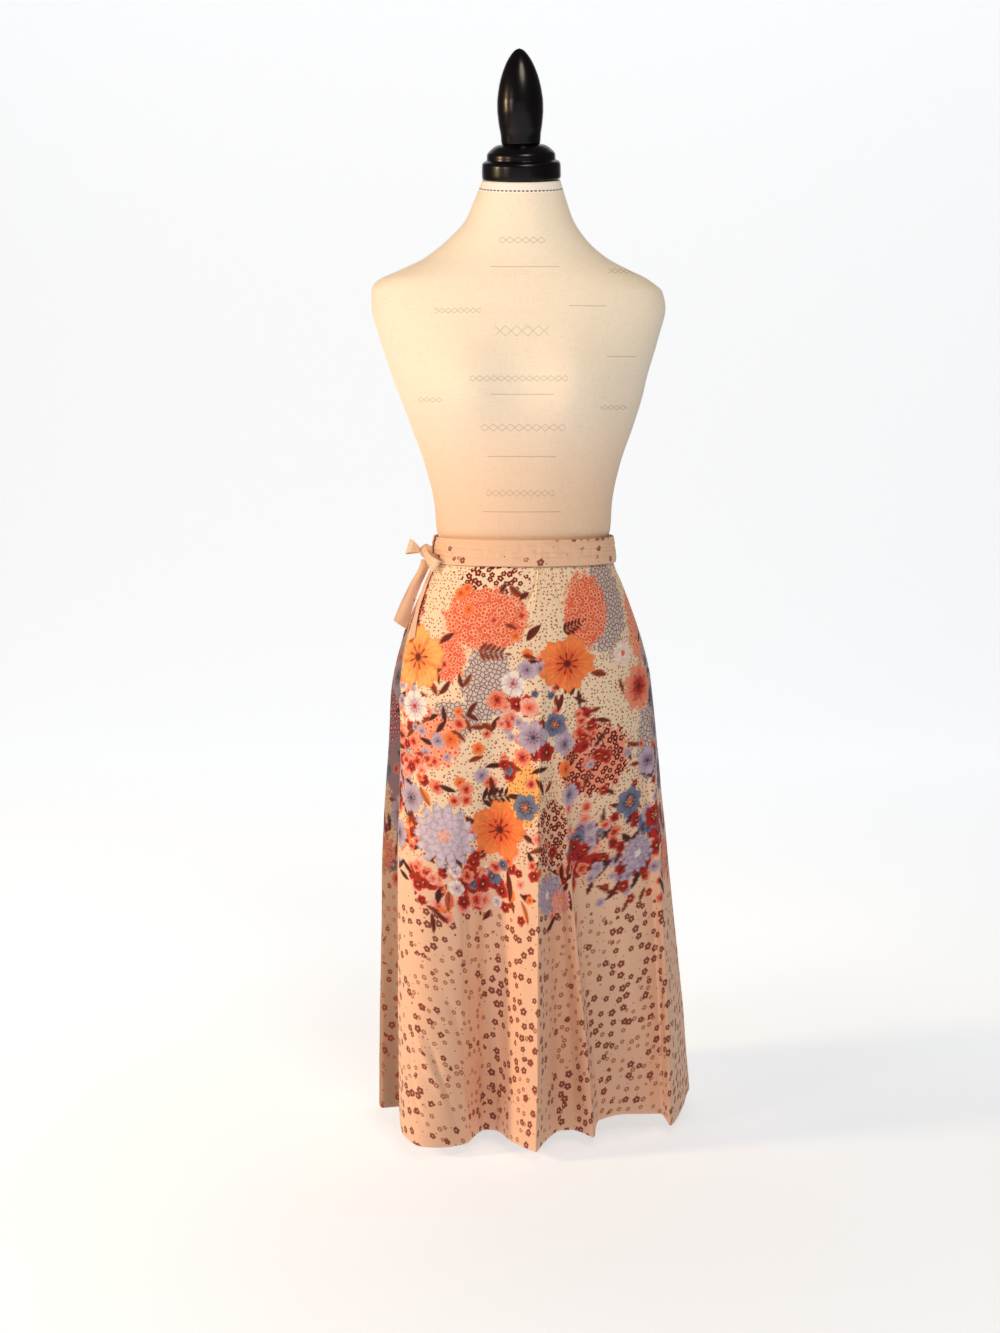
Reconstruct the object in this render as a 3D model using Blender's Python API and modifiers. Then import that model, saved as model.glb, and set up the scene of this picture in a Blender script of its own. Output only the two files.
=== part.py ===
"""A wrap skirt worn on a limbless dress form with a turned neck cap, which stands on a pole and a round foot.

The frame: metres, +Z up, the front faces -Y, and the origin is the middle of the foot's flat underside.
The skirt is one long wrap. It starts at the free edge beside the bow, crosses the front, goes round the
back and ends as an under-lap behind the front. Angles round the figure are in degrees from the front
(-Y) towards +X, so one lap of the wrap is 360 degrees and the under-lap carries on past it.
"""

import math

import bpy
import numpy as np
from mathutils import Euler, Vector

# ---- driving dimensions ----
CLOTH_WALL = 0.0012
BAND_WALL = 0.0010
SASH_WALL = 0.0016
SEAM_GAP = 0.0003
HEM_Z = 0.015
WAIST_SEAM_Z = 0.752
BAND_TOP_Z = 0.785
LAP_STEP = 0.0050  # how much nearer the figure the wrap lies at its inner end than at its outer end
FOLD_START = 0.15  # the share of the skirt's length that hangs smooth before its folds open
FOLD_POWER = 1.15
HIP_SHARE = 0.33  # where the hip angles of WRAP are measured, as a share of the skirt's length

# Rings of the skirt as it would hang with no folds. Half widths and half depths are from the ring's centre.
HANG = {
    "z": (0.015, 0.140, 0.270, 0.400, 0.520, 0.590, 0.650, 0.690, 0.722, 0.752, 0.786),
    "half_width": (0.2085, 0.2030, 0.1960, 0.1880, 0.1785, 0.1725, 0.1590, 0.1445, 0.1310, 0.1180, 0.1145),
    "front": (0.172, 0.162, 0.152, 0.142, 0.132, 0.127, 0.121, 0.114, 0.106, 0.0975, 0.0925),
    "back": (0.180, 0.172, 0.162, 0.152, 0.144, 0.138, 0.127, 0.115, 0.1035, 0.0935, 0.0890),
    "centre_x": (0.018, 0.014, 0.009, 0.004, 0.002, 0.000, 0.000, 0.001, 0.002, 0.003, 0.003),
}

# The wrap's meridians: where each starts at the waist and passes the hip, in degrees, and where it ends
# at the hem. rise lifts the hem there, and crease is 0 for a rolling fold and 1 for a pressed edge.
WRAP_COLUMNS = ("waist", "hip", "hem_x", "hem_y", "rise", "crease")
FRONT_LEFT_ROWS = (
    (-77.0, -59.5, -0.158, -0.118, 0.012, 0.0),
    (-68.0, -53.5, -0.148, -0.166, 0.003, 0.0),
    (-58.0, -46.0, -0.128, -0.193, 0.000, 0.0),
    (-44.0, -36.0, -0.100, -0.197, 0.000, 0.0),
    (-28.0, -26.0, -0.072, -0.184, 0.000, 0.3),
    (-8.0, -17.0, -0.059, -0.150, 0.001, 0.2),
    (3.0, -12.0, -0.047, -0.128, 0.000, 0.0),
    (6.5, -6.7, -0.033, -0.130, 0.000, 0.6),
    (8.0, 0.0, -0.010, -0.178, 0.000, 0.0),
    (9.5, 5.6, 0.018, -0.216, 0.000, 1.0),
)
FRONT_RIGHT_ROWS = (
    (13.0, 9.0, 0.034, -0.162, 0.000, 0.0),
    (17.0, 11.5, 0.050, -0.130, 0.000, 0.3),
    (20.5, 13.5, 0.069, -0.128, 0.000, 0.5),
    (24.0, 15.5, 0.093, -0.160, 0.000, 0.8),
    (32.0, 20.5, 0.101, -0.108, 0.006, 0.5),
    (44.0, 36.0, 0.130, -0.092, 0.009, 0.0),
    (58.0, 54.0, 0.166, -0.087, 0.008, 0.0),
    (66.0, 63.0, 0.187, -0.082, 0.006, 0.6),
    (70.0, 66.0, 0.196, -0.112, 0.000, 0.6),
    (80.0, 78.0, 0.213, -0.060, 0.002, 0.0),
    (90.0, 90.0, 0.226, 0.005, 0.004, 0.0),
)
BACK_FOLDS = {"first": 103.0, "last": 257.0, "ridges_and_valleys": 14, "reach": 0.017, "sway": 0.005}
UNDER_LAP_ROWS = (
    (270.0, 270.0, -0.191, 0.000, 0.004, 0.0),
    (278.0, 280.0, -0.188, -0.050, 0.004, 0.5),
    (286.0, 290.0, -0.165, -0.048, 0.005, 0.3),
    (292.0, 299.0, -0.149, -0.085, 0.006, 0.0),
    (299.0, 307.0, -0.140, -0.125, 0.006, 0.0),
    (306.0, 315.0, -0.126, -0.160, 0.006, 0.0),
    (318.0, 325.0, -0.103, -0.176, 0.006, 0.0),
    (332.0, 335.0, -0.080, -0.158, 0.006, 0.0),
    (350.0, 343.0, -0.065, -0.124, 0.006, 0.0),
    (358.0, 349.0, -0.052, -0.106, 0.006, 0.0),
)

# The figure's rings. tilt leans the neck's top ring forward, and squareness is a superellipse's power.
FIGURE = {
    "z": (
        0.470, 0.500, 0.545, 0.590, 0.640, 0.680, 0.712, 0.740, 0.760, 0.778, 0.795, 0.830, 0.880, 0.930,
        0.965, 1.000, 1.050, 1.085, 1.105, 1.120, 1.133, 1.146, 1.160, 1.175, 1.198, 1.223, 1.249,
    ),
    "half_width": (
        0.1600, 0.1655, 0.1675, 0.1640, 0.1520, 0.1380, 0.1270, 0.1165, 0.1120, 0.1110, 0.1150, 0.1177, 0.1288,
        0.1462, 0.1581, 0.1690, 0.1842, 0.1925, 0.1905, 0.1770, 0.1500, 0.1236, 0.1040, 0.0880, 0.0700, 0.0600,
        0.0505,
    ),
    "front": (
        0.108, 0.112, 0.113, 0.111, 0.106, 0.101, 0.096, 0.0925, 0.0900, 0.0890, 0.0905, 0.092, 0.097, 0.105,
        0.110, 0.110, 0.101, 0.090, 0.083, 0.077, 0.071, 0.066, 0.062, 0.059, 0.056, 0.053, 0.050,
    ),
    "back": (
        0.118, 0.124, 0.126, 0.121, 0.110, 0.100, 0.093, 0.0885, 0.0860, 0.0855, 0.0870, 0.089, 0.095, 0.102,
        0.105, 0.107, 0.105, 0.097, 0.089, 0.081, 0.074, 0.068, 0.063, 0.059, 0.055, 0.053, 0.051,
    ),
    "centre_x": (
        0.000, 0.000, 0.000, 0.000, 0.000, 0.001, 0.002, 0.0030, 0.0030, 0.0030, 0.0030, 0.0025, 0.0015, 0.0010,
        0.0000, -0.0025, -0.0032, -0.0038, -0.006, -0.010, -0.009, -0.0077, -0.007, -0.0055, -0.0026, -0.0015, 0.0,
    ),
    "tilt": (0.0,) * 20 + (0.0, 1.0, 2.5, 4.0, 6.0, 8.0, 9.0),
}
FIGURE_SQUARENESS = 2.15
FIGURE_COLUMNS = 56
BUST = {"x": 0.074, "z": 0.985, "spread_x": 0.050, "spread_z": 0.055, "out": 0.017}
NECK_TILT_DEG = 9.0
NECK_ROLL_DEG = -1.2

FOOT_RADIUS = 0.090
TAIL_TURN = math.radians(12.0)  # how far the standing tail turns from the front
POLE_RADIUS = 0.0125
PLATE_RADIUS = 0.045
PLATE_THICKNESS = 0.008

CAP_PROFILE = ((0.0500, 0.000), (0.0512, 0.006), (0.0512, 0.018), (0.0490, 0.0225), (0.0448, 0.0260),
               (0.0440, 0.0320), (0.0405, 0.0365), (0.0345, 0.0415), (0.0290, 0.0435))
SPINDLE_PROFILE = ((0.0235, 0.000), (0.0254, 0.003), (0.0262, 0.013), (0.0279, 0.023), (0.0292, 0.034),
                   (0.0299, 0.044), (0.0298, 0.054), (0.0287, 0.064), (0.0270, 0.074), (0.0245, 0.084),
                   (0.0210, 0.094), (0.0160, 0.105), (0.0090, 0.115), (0.0020, 0.1205))

# name: (red, green, blue), roughness, metallic
FINISHES = {
    "print_cloth": ((0.86, 0.55, 0.40), 0.85, 0.0),
    "sash_cloth": ((0.88, 0.60, 0.42), 0.85, 0.0),
    "linen": ((0.84, 0.70, 0.50), 0.90, 0.0),
    "dark_wood": ((0.015, 0.010, 0.009), 0.25, 0.0),
    "black_iron": ((0.020, 0.020, 0.022), 0.50, 0.6),
}


# ---- helpers ----
def clear_scene():
    for leftover in list(bpy.data.objects):
        bpy.data.objects.remove(leftover)


def finish(name):
    """The named Principled material, made the first time it is asked for."""
    made = bpy.data.materials.get(name)
    if made is None:
        colour, roughness, metallic = FINISHES[name]
        made = bpy.data.materials.new(name)
        made.use_nodes = True
        shader = made.node_tree.nodes["Principled BSDF"]
        shader.inputs["Base Color"].default_value = (*colour, 1.0)
        shader.inputs["Roughness"].default_value = roughness
        shader.inputs["Metallic"].default_value = metallic
    return made


def through(xs, ys, at):
    """A smooth curve through the points (xs, ys) that never overshoots between two rows (a monotone cubic)."""
    xs, ys, at = (np.asarray(values, float) for values in (xs, ys, at))
    step = np.diff(xs)
    slope = np.diff(ys) / step
    rising = slope[:-1] * slope[1:] > 0
    total = np.where(rising, slope[:-1] + slope[1:], 1.0)
    inner = np.where(rising, 2 * slope[:-1] * slope[1:] / total, 0.0)
    tangent = np.concatenate([slope[:1], inner, slope[-1:]])
    left = np.clip(np.searchsorted(xs, at) - 1, 0, len(step) - 1)
    width = step[left]
    t = np.clip((at - xs[left]) / width, 0.0, 1.0)
    return (
        (1 + 2 * t) * (1 - t) ** 2 * ys[left]
        + t * (1 - t) ** 2 * width * tangent[left]
        + t**2 * (3 - 2 * t) * ys[left + 1]
        + t**2 * (t - 1) * width * tangent[left + 1]
    )


def ring(table, z, degrees, out=0.0):
    """Points (x, y) at angles round a table's ring at height z, each moved out by out metres."""
    angle = np.radians(degrees)
    side, ahead = np.sin(angle), np.cos(angle)
    power = 2.0 / FIGURE_SQUARENESS
    side = np.sign(side) * np.abs(side) ** power
    ahead = np.sign(ahead) * np.abs(ahead) ** power
    depth = np.where(ahead > 0, through(table["z"], table["front"], z), through(table["z"], table["back"], z))
    x = through(table["z"], table["centre_x"], z) + (through(table["z"], table["half_width"], z) + out) * side
    return x, -(depth + out) * ahead


def grid_object(name, points, finish_name, wall=0.0, close_ring=False, caps=False):
    """An object from a grid of points (rows, columns, 3). wall thickens an open sheet evenly about its middle."""
    rows, columns = points.shape[:2]
    index = np.arange(rows * columns).reshape(rows, columns)
    right = np.roll(index, -1, axis=1)
    last = columns if close_ring else columns - 1
    faces = np.stack([index[:-1], right[:-1], right[1:], index[1:]], axis=-1)[:, :last].reshape(-1, 4).tolist()
    if caps:
        faces += [index[0, ::-1].tolist(), index[-1].tolist()]
    mesh = bpy.data.meshes.new(name)
    mesh.from_pydata(points.reshape(-1, 3).tolist(), [], faces)
    mesh.materials.append(finish(finish_name))
    made = bpy.data.objects.new(name, mesh)
    parts.objects.link(made)
    if wall:
        thicken = made.modifiers.new("wall", "SOLIDIFY")
        thicken.thickness = wall
        thicken.offset = 0.0
        thicken.use_even_offset = True
    mesh.shade_smooth()
    return made


def turned(name, profile, finish_name, place, lean=(0.0, 0.0, 0.0), steps=40):
    """A turned solid: a profile of (radius, height) from bottom to top, spun about its own upright axis."""
    outline = [(0.0, profile[0][1])] + list(profile) + [(0.0, profile[-1][1])]
    mesh = bpy.data.meshes.new(name)
    points = [(radius, 0.0, height) for radius, height in reversed(outline)]
    mesh.from_pydata(points, [(i, i + 1) for i in range(len(points) - 1)], [])
    mesh.materials.append(finish(finish_name))
    made = bpy.data.objects.new(name, mesh)
    made.location = place
    made.rotation_euler = lean
    parts.objects.link(made)
    spin = made.modifiers.new("spin", "SCREW")
    spin.steps = spin.render_steps = steps
    spin.use_merge_vertices = True
    spin.merge_threshold = 0.00005
    spin.use_smooth_shade = True
    return made


# ---- the wrap ----
def back_rows():
    """Meridians round the back: ridges and valleys in turn, their reach swaying so that no two are alike."""
    rows = []
    count = BACK_FOLDS["ridges_and_valleys"]
    for k in range(count):
        share = k / (count - 1)
        degrees = BACK_FOLDS["first"] + share * (BACK_FOLDS["last"] - BACK_FOLDS["first"])
        out = BACK_FOLDS["reach"] * math.cos(math.pi * k) + BACK_FOLDS["sway"] * math.sin(2.3 * k)
        out *= math.sin(math.pi * (0.12 + 0.76 * share)) ** 0.5
        x, y = ring(HANG, HEM_Z, degrees, out)
        rows.append((degrees, degrees, float(x), float(y), 0.004, 0.0))
    return tuple(rows)


WRAP_ROWS = FRONT_LEFT_ROWS + FRONT_RIGHT_ROWS + back_rows() + UNDER_LAP_ROWS
WRAP = {name: np.array([row[k] for row in WRAP_ROWS]) for k, name in enumerate(WRAP_COLUMNS)}
ROW_AT = np.concatenate(
    [[0.0], np.cumsum(np.hypot(np.diff(WRAP["hem_x"]), np.diff(WRAP["hem_y"])))]
)  # how far along the hem each meridian is, in metres
# Seams, as rows of WRAP. A half is midway down a fold's flank, where two walls meet edge to edge.
SEAM_RIDGE = len(FRONT_LEFT_ROWS) - 1
RIGHT_SIDE = SEAM_RIDGE + len(FRONT_RIGHT_ROWS) + 0.5
CENTRE_BACK = RIGHT_SIDE + BACK_FOLDS["ridges_and_valleys"] // 2
LEFT_SIDE = RIGHT_SIDE + BACK_FOLDS["ridges_and_valleys"]
INNER_EDGE = len(WRAP_ROWS) - 1


def hem_curve(column, along):
    """A column of WRAP along the hem: a curve through its rows that breaks at a crease."""
    values = WRAP[column]
    chord = np.diff(values) / np.diff(ROW_AT)
    before = np.concatenate([chord[:1], chord])
    after = np.concatenate([chord, chord[-1:]])
    span = np.concatenate([[1.0], np.diff(ROW_AT), [1.0]])
    middle = (before * span[1:] + after * span[:-1]) / (span[:-1] + span[1:])
    leaving = middle + (after - middle) * WRAP["crease"]
    arriving = middle + (before - middle) * WRAP["crease"]
    left = np.clip(np.searchsorted(ROW_AT, along) - 1, 0, len(chord) - 1)
    width = (ROW_AT[1:] - ROW_AT[:-1])[left]
    t = (along - ROW_AT[left]) / width
    return (
        (1 + 2 * t) * (1 - t) ** 2 * values[left]
        + t * (1 - t) ** 2 * width * leaving[left]
        + t**2 * (3 - 2 * t) * values[left + 1]
        + t**2 * (t - 1) * width * arriving[left + 1]
    )


def wrap_points(along, share):
    """Points of the wrap at distances along the hem (columns) and shares of its length (rows)."""
    along, share = np.meshgrid(along, share)
    waist, hip = (through(ROW_AT, WRAP[name], along) for name in ("waist", "hip"))
    hem_x, hem_y = (hem_curve(name, along) for name in ("hem_x", "hem_y"))
    rise = through(ROW_AT, WRAP["rise"], along)
    z = WAIST_SEAM_Z + (HEM_Z - WAIST_SEAM_Z) * share
    half_width, centre = (through(HANG["z"], HANG[name], HEM_Z) for name in ("half_width", "centre_x"))
    depth = np.where(hem_y < 0, through(HANG["z"], HANG["front"], HEM_Z), through(HANG["z"], HANG["back"], HEM_Z))
    hem = np.degrees(np.arctan2((hem_x - centre) / half_width, -hem_y / depth))
    hem += 360 * np.round((waist - hem) / 360)
    angle = angle_down(waist, hip, hem, share)
    lap = LAP_STEP * (0.5 - (waist - WRAP["waist"][0]) / (WRAP["waist"][-1] - WRAP["waist"][0]))
    x, y = ring(HANG, z, angle, lap)
    flat_x, flat_y = ring(HANG, HEM_Z, hem)
    fold = np.clip((share - FOLD_START) / (1 - FOLD_START), 0, 1) ** FOLD_POWER
    return np.stack([x + fold * (hem_x - flat_x), y + fold * (hem_y - flat_y), z + rise * share**3], axis=-1)


def angle_down(waist, hip, hem, share):
    """The angle of a meridian on its way down: from the waist, past the hip, to the hem, with no overshoot."""
    upper, lower = (hip - waist) / HIP_SHARE, (hem - hip) / (1 - HIP_SHARE)
    agree = upper * lower > 0
    tangent = np.where(agree, 2 * upper * lower / np.where(agree, upper + lower, 1.0), 0.0)
    above = share < HIP_SHARE
    width = np.where(above, HIP_SHARE, 1 - HIP_SHARE)
    t = np.where(above, share, share - HIP_SHARE) / width
    start, end = np.where(above, waist, hip), np.where(above, hip, hem)
    first, last = np.where(above, upper, tangent), np.where(above, tangent, lower)
    return (
        (1 + 2 * t) * (1 - t) ** 2 * start
        + t * (1 - t) ** 2 * width * first
        + t**2 * (3 - 2 * t) * end
        + t**2 * (t - 1) * width * last
    )


PANEL_SHARES = np.array([0.0, 0.03, 0.07, 0.12, 0.19, 0.27, 0.36, 0.47, 0.59, 0.71, 0.82, 0.92, 1.0])
COLUMNS_PER_ROW = 2
BACK_COLUMNS_PER_ROW = 4  # the back has one row for a ridge or a valley, so it takes more between them
EDGE_TRIM = 0.00025
RIDGE_TRIM = 0.0022  # at the pressed seam the two walls lean together lower down, so each is cut back further
TOP_TRIM = 0.0006


def panel(name, first, last, trim_first, trim_last, per_row=COLUMNS_PER_ROW):
    """One panel of the wrap, from one row of WRAP to another."""
    rows = np.arange(first * per_row, last * per_row + 1) / per_row
    along = np.interp(rows, np.arange(len(ROW_AT)), ROW_AT)
    points = wrap_points(along, PANEL_SHARES)
    points[0, :, 2] -= TOP_TRIM
    points[:, 0] += trimmed(points[:, 0], points[:, 1], trim_first)
    points[:, -1] += trimmed(points[:, -1], points[:, -2], trim_last)
    return grid_object(name, points, "print_cloth", CLOTH_WALL)


def trimmed(edge, inside, by):
    """The step that pulls an edge back into its panel: a seam's gap at the top, and by metres at the hem."""
    towards = inside - edge
    return (EDGE_TRIM + (by - EDGE_TRIM) * PANEL_SHARES[:, None] ** 0.5) * towards / np.linalg.norm(towards, axis=-1, keepdims=True)


# ---- band, sash and bow ----
def band():
    """The waistband: one strip as long as the wrap, lying on itself where the skirt overlaps."""
    degrees = np.linspace(WRAP["waist"][0], WRAP["waist"][-1], 62)
    heights = np.linspace(WAIST_SEAM_Z + SEAM_GAP / 2, BAND_TOP_Z - 0.001, 3)
    turn, z = np.meshgrid(degrees, heights)
    lap = 0.0024 * (0.5 - (turn - degrees[0]) / (degrees[-1] - degrees[0]))
    x, y = ring(HANG, z, turn, lap)
    return grid_object("waistband", np.stack([x, y, z], axis=-1), "sash_cloth", BAND_WALL)


SASH_OUT = 0.0037
SASH_PLEATS = 3.0
SASH_PLEAT_DEPTH = 0.0004
KNOT_SIZE = Vector((0.0085, 0.0090, 0.0100))  # half its width, depth and height
KNOT_DEG = -80.0
KNOT_Z = 0.7665


def sash():
    """The tie where it goes round the waist over the band, gathered into soft lengthwise pleats."""
    degrees = np.linspace(-71.0, 360.0 - 79.0, 50)
    share = np.linspace(0.0, 1.0, 7)
    turn, up = np.meshgrid(degrees, share)
    z = WAIST_SEAM_Z + 0.0005 + (BAND_TOP_Z - WAIST_SEAM_Z) * up
    ripple = SASH_PLEAT_DEPTH * np.cos(2 * np.pi * SASH_PLEATS * up)
    x, y = ring(HANG, z, turn, SASH_OUT + ripple)
    return grid_object("sash_round_waist", np.stack([x, y, z], axis=-1), "sash_cloth", SASH_WALL)


def bow_loop(name, leave, clear, out, face, length, width, opening):
    """One loop of the bow: a ribbon that runs out from the knot and back.

    leave points from the knot's middle to where the loop starts, clear off its surface, and face is the way the
    loop's flat side looks.
    """
    leave = Vector(leave).normalized()
    surface = 1.0 / math.sqrt(sum((leave[k] / KNOT_SIZE[k]) ** 2 for k in range(3)))
    start = knot_centre() + leave * (surface + clear)
    out = Vector(out).normalized()
    face = (Vector(face) - Vector(face).dot(out) * out).normalized()
    across = out.cross(face)
    t = np.linspace(0.0, 1.0, 15)[:, None]
    s = np.linspace(-0.5, 0.5, 5)[None, :]
    reach = length * np.sin(np.pi * t) ** 0.8 + 0 * s
    depth = opening * (np.sin(2 * np.pi * t) * 0.5 + 0.20 * np.cos(np.pi * t)) + 0 * s
    ribbon = width * (0.35 + 0.65 * np.sin(np.pi * t)) * s
    points = (
        np.array(start)
        + reach[..., None] * np.array(out)
        + depth[..., None] * np.array(face)
        + ribbon[..., None] * np.array(across)
    )
    return grid_object(name, points, "sash_cloth", CLOTH_WALL)


def tail(name, top, bottom, top_degrees, bottom_degrees, width, out, stands):
    """A free end of the tie, hanging from the knot. One that stands faces the front, with its inner edge by the hip."""
    share = np.linspace(0.0, 1.0, 9)[:, None]
    s = np.linspace(-0.5, 0.5, 5)[None, :]
    z = top + (bottom - top) * share + 0 * s
    middle = top_degrees + (bottom_degrees - top_degrees) * share
    across = width * (0.55 + 0.45 * share)
    wave = 0.0012 * np.cos(2 * np.pi * s)
    if stands:
        x, y = ring(HANG, z, middle + 0 * s, out)
        x = x - across * (0.5 - s) * math.cos(TAIL_TURN)
        y = y - across * (0.5 - s) * math.sin(TAIL_TURN) - wave
    else:
        spread = np.degrees(across * s / through(HANG["z"], HANG["half_width"], z))
        x, y = ring(HANG, z, middle + spread, out + wave)
    return grid_object(name, np.stack([x, y, z], axis=-1), "sash_cloth", CLOTH_WALL)


def knot_centre():
    """The knot sits on the sash's outer face."""
    out = SASH_OUT + SASH_WALL / 2 + SASH_PLEAT_DEPTH + KNOT_SIZE.x + SEAM_GAP
    x, y = ring(HANG, KNOT_Z, KNOT_DEG, out)
    return Vector((float(x), float(y), KNOT_Z))


def knot():
    bpy.ops.mesh.primitive_uv_sphere_add(segments=16, ring_count=10, radius=1.0, location=knot_centre())
    made = bpy.context.object
    made.name = "bow_knot"
    made.scale = KNOT_SIZE
    bpy.ops.object.transform_apply(location=False, rotation=False, scale=True)
    for collection in made.users_collection:
        collection.objects.unlink(made)
    parts.objects.link(made)
    made.data.materials.append(finish("sash_cloth"))
    made.data.shade_smooth()
    return made


# ---- the dress form ----
def figure():
    """The limbless figure: rings from the hips to the neck, closed flat at both ends."""
    heights = np.array(FIGURE["z"])
    degrees = np.linspace(0.0, 360.0, FIGURE_COLUMNS, endpoint=False)
    turn, z = np.meshgrid(degrees, heights)
    x, y = ring(FIGURE, z, turn)
    for side in (-1, 1):
        near = ((x - side * BUST["x"]) / BUST["spread_x"]) ** 2 + ((z - BUST["z"]) / BUST["spread_z"]) ** 2
        y = y - np.where(y < 0, BUST["out"] * np.exp(-near), 0.0)
    lean = np.radians(through(FIGURE["z"], FIGURE["tilt"], z))
    points = np.stack([x, y, z + y * np.tan(lean)], axis=-1)
    return grid_object("form_figure", points, "linen", close_ring=True, caps=True)


def stand():
    foot_profile = [(FOOT_RADIUS, 0.000), (FOOT_RADIUS, 0.006), (0.086, 0.009), (0.050, 0.013), (0.026, 0.018),
                    (0.022, 0.030), (0.020, 0.052)]
    turned("stand_foot", foot_profile, "black_iron", (0.0, 0.0, 0.0), steps=48)
    pole_bottom = foot_profile[-1][1] + SEAM_GAP
    plate_bottom = FIGURE["z"][0] - PLATE_THICKNESS - SEAM_GAP
    bpy.ops.mesh.primitive_cylinder_add(
        vertices=32,
        radius=POLE_RADIUS,
        depth=plate_bottom - SEAM_GAP - pole_bottom,
        location=(0.0, 0.0, (plate_bottom - SEAM_GAP + pole_bottom) / 2),
    )
    pole = bpy.context.object
    pole.name = "stand_pole"
    for collection in pole.users_collection:
        collection.objects.unlink(pole)
    parts.objects.link(pole)
    pole.data.materials.append(finish("black_iron"))
    turned("stand_plate", [(PLATE_RADIUS, 0.0), (PLATE_RADIUS, PLATE_THICKNESS)], "black_iron", (0.0, 0.0, plate_bottom))


def neck_cap():
    """The turned cap and spindle, leaning forward with the neck."""
    lean = Euler((math.radians(NECK_TILT_DEG), math.radians(NECK_ROLL_DEG), 0.0))
    rise = 0.050 * math.tan(math.radians(-NECK_ROLL_DEG))  # clears the neck's rim on the side it rolls towards
    base = Vector((0.0, 0.0, FIGURE["z"][-1] + rise)) + lean.to_matrix() @ Vector((0.0, 0.0, SEAM_GAP))
    turned("neck_cap", CAP_PROFILE, "dark_wood", base, lean)
    above = base + lean.to_matrix() @ Vector((0.0, 0.0, CAP_PROFILE[-1][1] + SEAM_GAP))
    turned("neck_spindle", SPINDLE_PROFILE, "dark_wood", above, lean)


# ---- build ----
clear_scene()
parts = bpy.data.collections.new("wrap_skirt_on_dress_form")
bpy.context.scene.collection.children.link(parts)

panel("front_left_panel", 0, SEAM_RIDGE, 0.0, RIDGE_TRIM)
panel("front_right_panel", SEAM_RIDGE, RIGHT_SIDE, RIDGE_TRIM, EDGE_TRIM)
panel("back_right_panel", RIGHT_SIDE, CENTRE_BACK, EDGE_TRIM, EDGE_TRIM, BACK_COLUMNS_PER_ROW)
panel("back_left_panel", CENTRE_BACK, LEFT_SIDE, EDGE_TRIM, EDGE_TRIM, BACK_COLUMNS_PER_ROW)
panel("under_lap_panel", LEFT_SIDE, INNER_EDGE, EDGE_TRIM, 0.0)
band()
sash()
knot()
bow_loop("bow_loop_outer", (-1.0, -0.1, 0.15), 0.0009, (-0.88, -0.10, 0.30), (-0.2, -0.9, 0.3), 0.0160, 0.020, 0.013)
bow_loop("bow_loop_front", (-0.05, -1.0, 0.05), 0.0023, (0.40, -0.79, -0.47), (-0.8, -0.45, 0.3), 0.036, 0.018, 0.0085)
tail("tie_tail_long", 0.7560, 0.6720, -80.0, -69.0, 0.022, 0.0072, stands=True)
tail("tie_tail_short", 0.7560, 0.6530, -73.5, -61.0, 0.012, 0.0066, stands=False)
figure()
neck_cap()
stand()
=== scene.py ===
# %% [markdown]
# # A printed wrap skirt on a dress form
# The skirt is one long piece of light cloth. It goes round the figure about one and a quarter times, is
# held by a soft sash, and closes with a small bow. The dress form under it is covered in linen and has a
# black turned cap. We load the measured frame first. Every length below is in metres, +Z is up and the
# front faces -Y.

# %% Load the frame
import math
import random

import bpy
import numpy as np
from mathutils import Euler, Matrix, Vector


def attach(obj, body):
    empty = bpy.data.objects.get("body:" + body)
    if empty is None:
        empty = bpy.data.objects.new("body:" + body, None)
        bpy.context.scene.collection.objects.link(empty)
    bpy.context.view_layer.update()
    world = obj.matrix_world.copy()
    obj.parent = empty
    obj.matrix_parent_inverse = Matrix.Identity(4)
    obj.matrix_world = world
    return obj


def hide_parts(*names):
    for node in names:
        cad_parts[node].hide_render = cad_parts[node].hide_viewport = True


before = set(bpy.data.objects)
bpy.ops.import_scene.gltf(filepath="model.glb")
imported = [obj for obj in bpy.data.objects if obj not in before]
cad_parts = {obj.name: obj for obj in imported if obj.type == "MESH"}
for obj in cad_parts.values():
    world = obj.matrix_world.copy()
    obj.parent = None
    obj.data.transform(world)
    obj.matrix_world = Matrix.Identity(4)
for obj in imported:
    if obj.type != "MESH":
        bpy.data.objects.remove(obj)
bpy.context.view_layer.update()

# %% [markdown]
# ## Two tools that every piece shares
# `through` draws a smooth curve through a short table of sizes. It never overshoots between two rows, so
# a waist stays the waist that the table says. `lay_mesh` puts arrays of points and faces into a mesh in
# one step, which is much quicker than adding faces one at a time.


# %% Curves through tables, and meshes from arrays
def through(xs, ys, at):
    """Monotone cubic: between two rows the value follows a cubic whose end slopes are harmonic means."""
    xs, ys, at = (np.asarray(values, float) for values in (xs, ys, at))
    step = np.diff(xs)
    slope = np.diff(ys) / step
    rising = slope[:-1] * slope[1:] > 0
    total = np.where(rising, slope[:-1] + slope[1:], 1.0)
    inner = np.where(rising, 2 * slope[:-1] * slope[1:] / total, 0.0)
    tangent = np.concatenate([slope[:1], inner, slope[-1:]])
    left = np.clip(np.searchsorted(xs, at) - 1, 0, len(step) - 1)
    width = step[left]
    t = np.clip((at - xs[left]) / width, 0.0, 1.0)
    return (
        (1 + 2 * t) * (1 - t) ** 2 * ys[left]
        + t * (1 - t) ** 2 * width * tangent[left]
        + t**2 * (3 - 2 * t) * ys[left + 1]
        + t**2 * (t - 1) * width * tangent[left + 1]
    )


def soft_step(low, high, value):
    """0 below low, 1 above high, and a smooth S between."""
    t = np.clip((value - low) / (high - low), 0.0, 1.0)
    return t * t * (3 - 2 * t)


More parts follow.
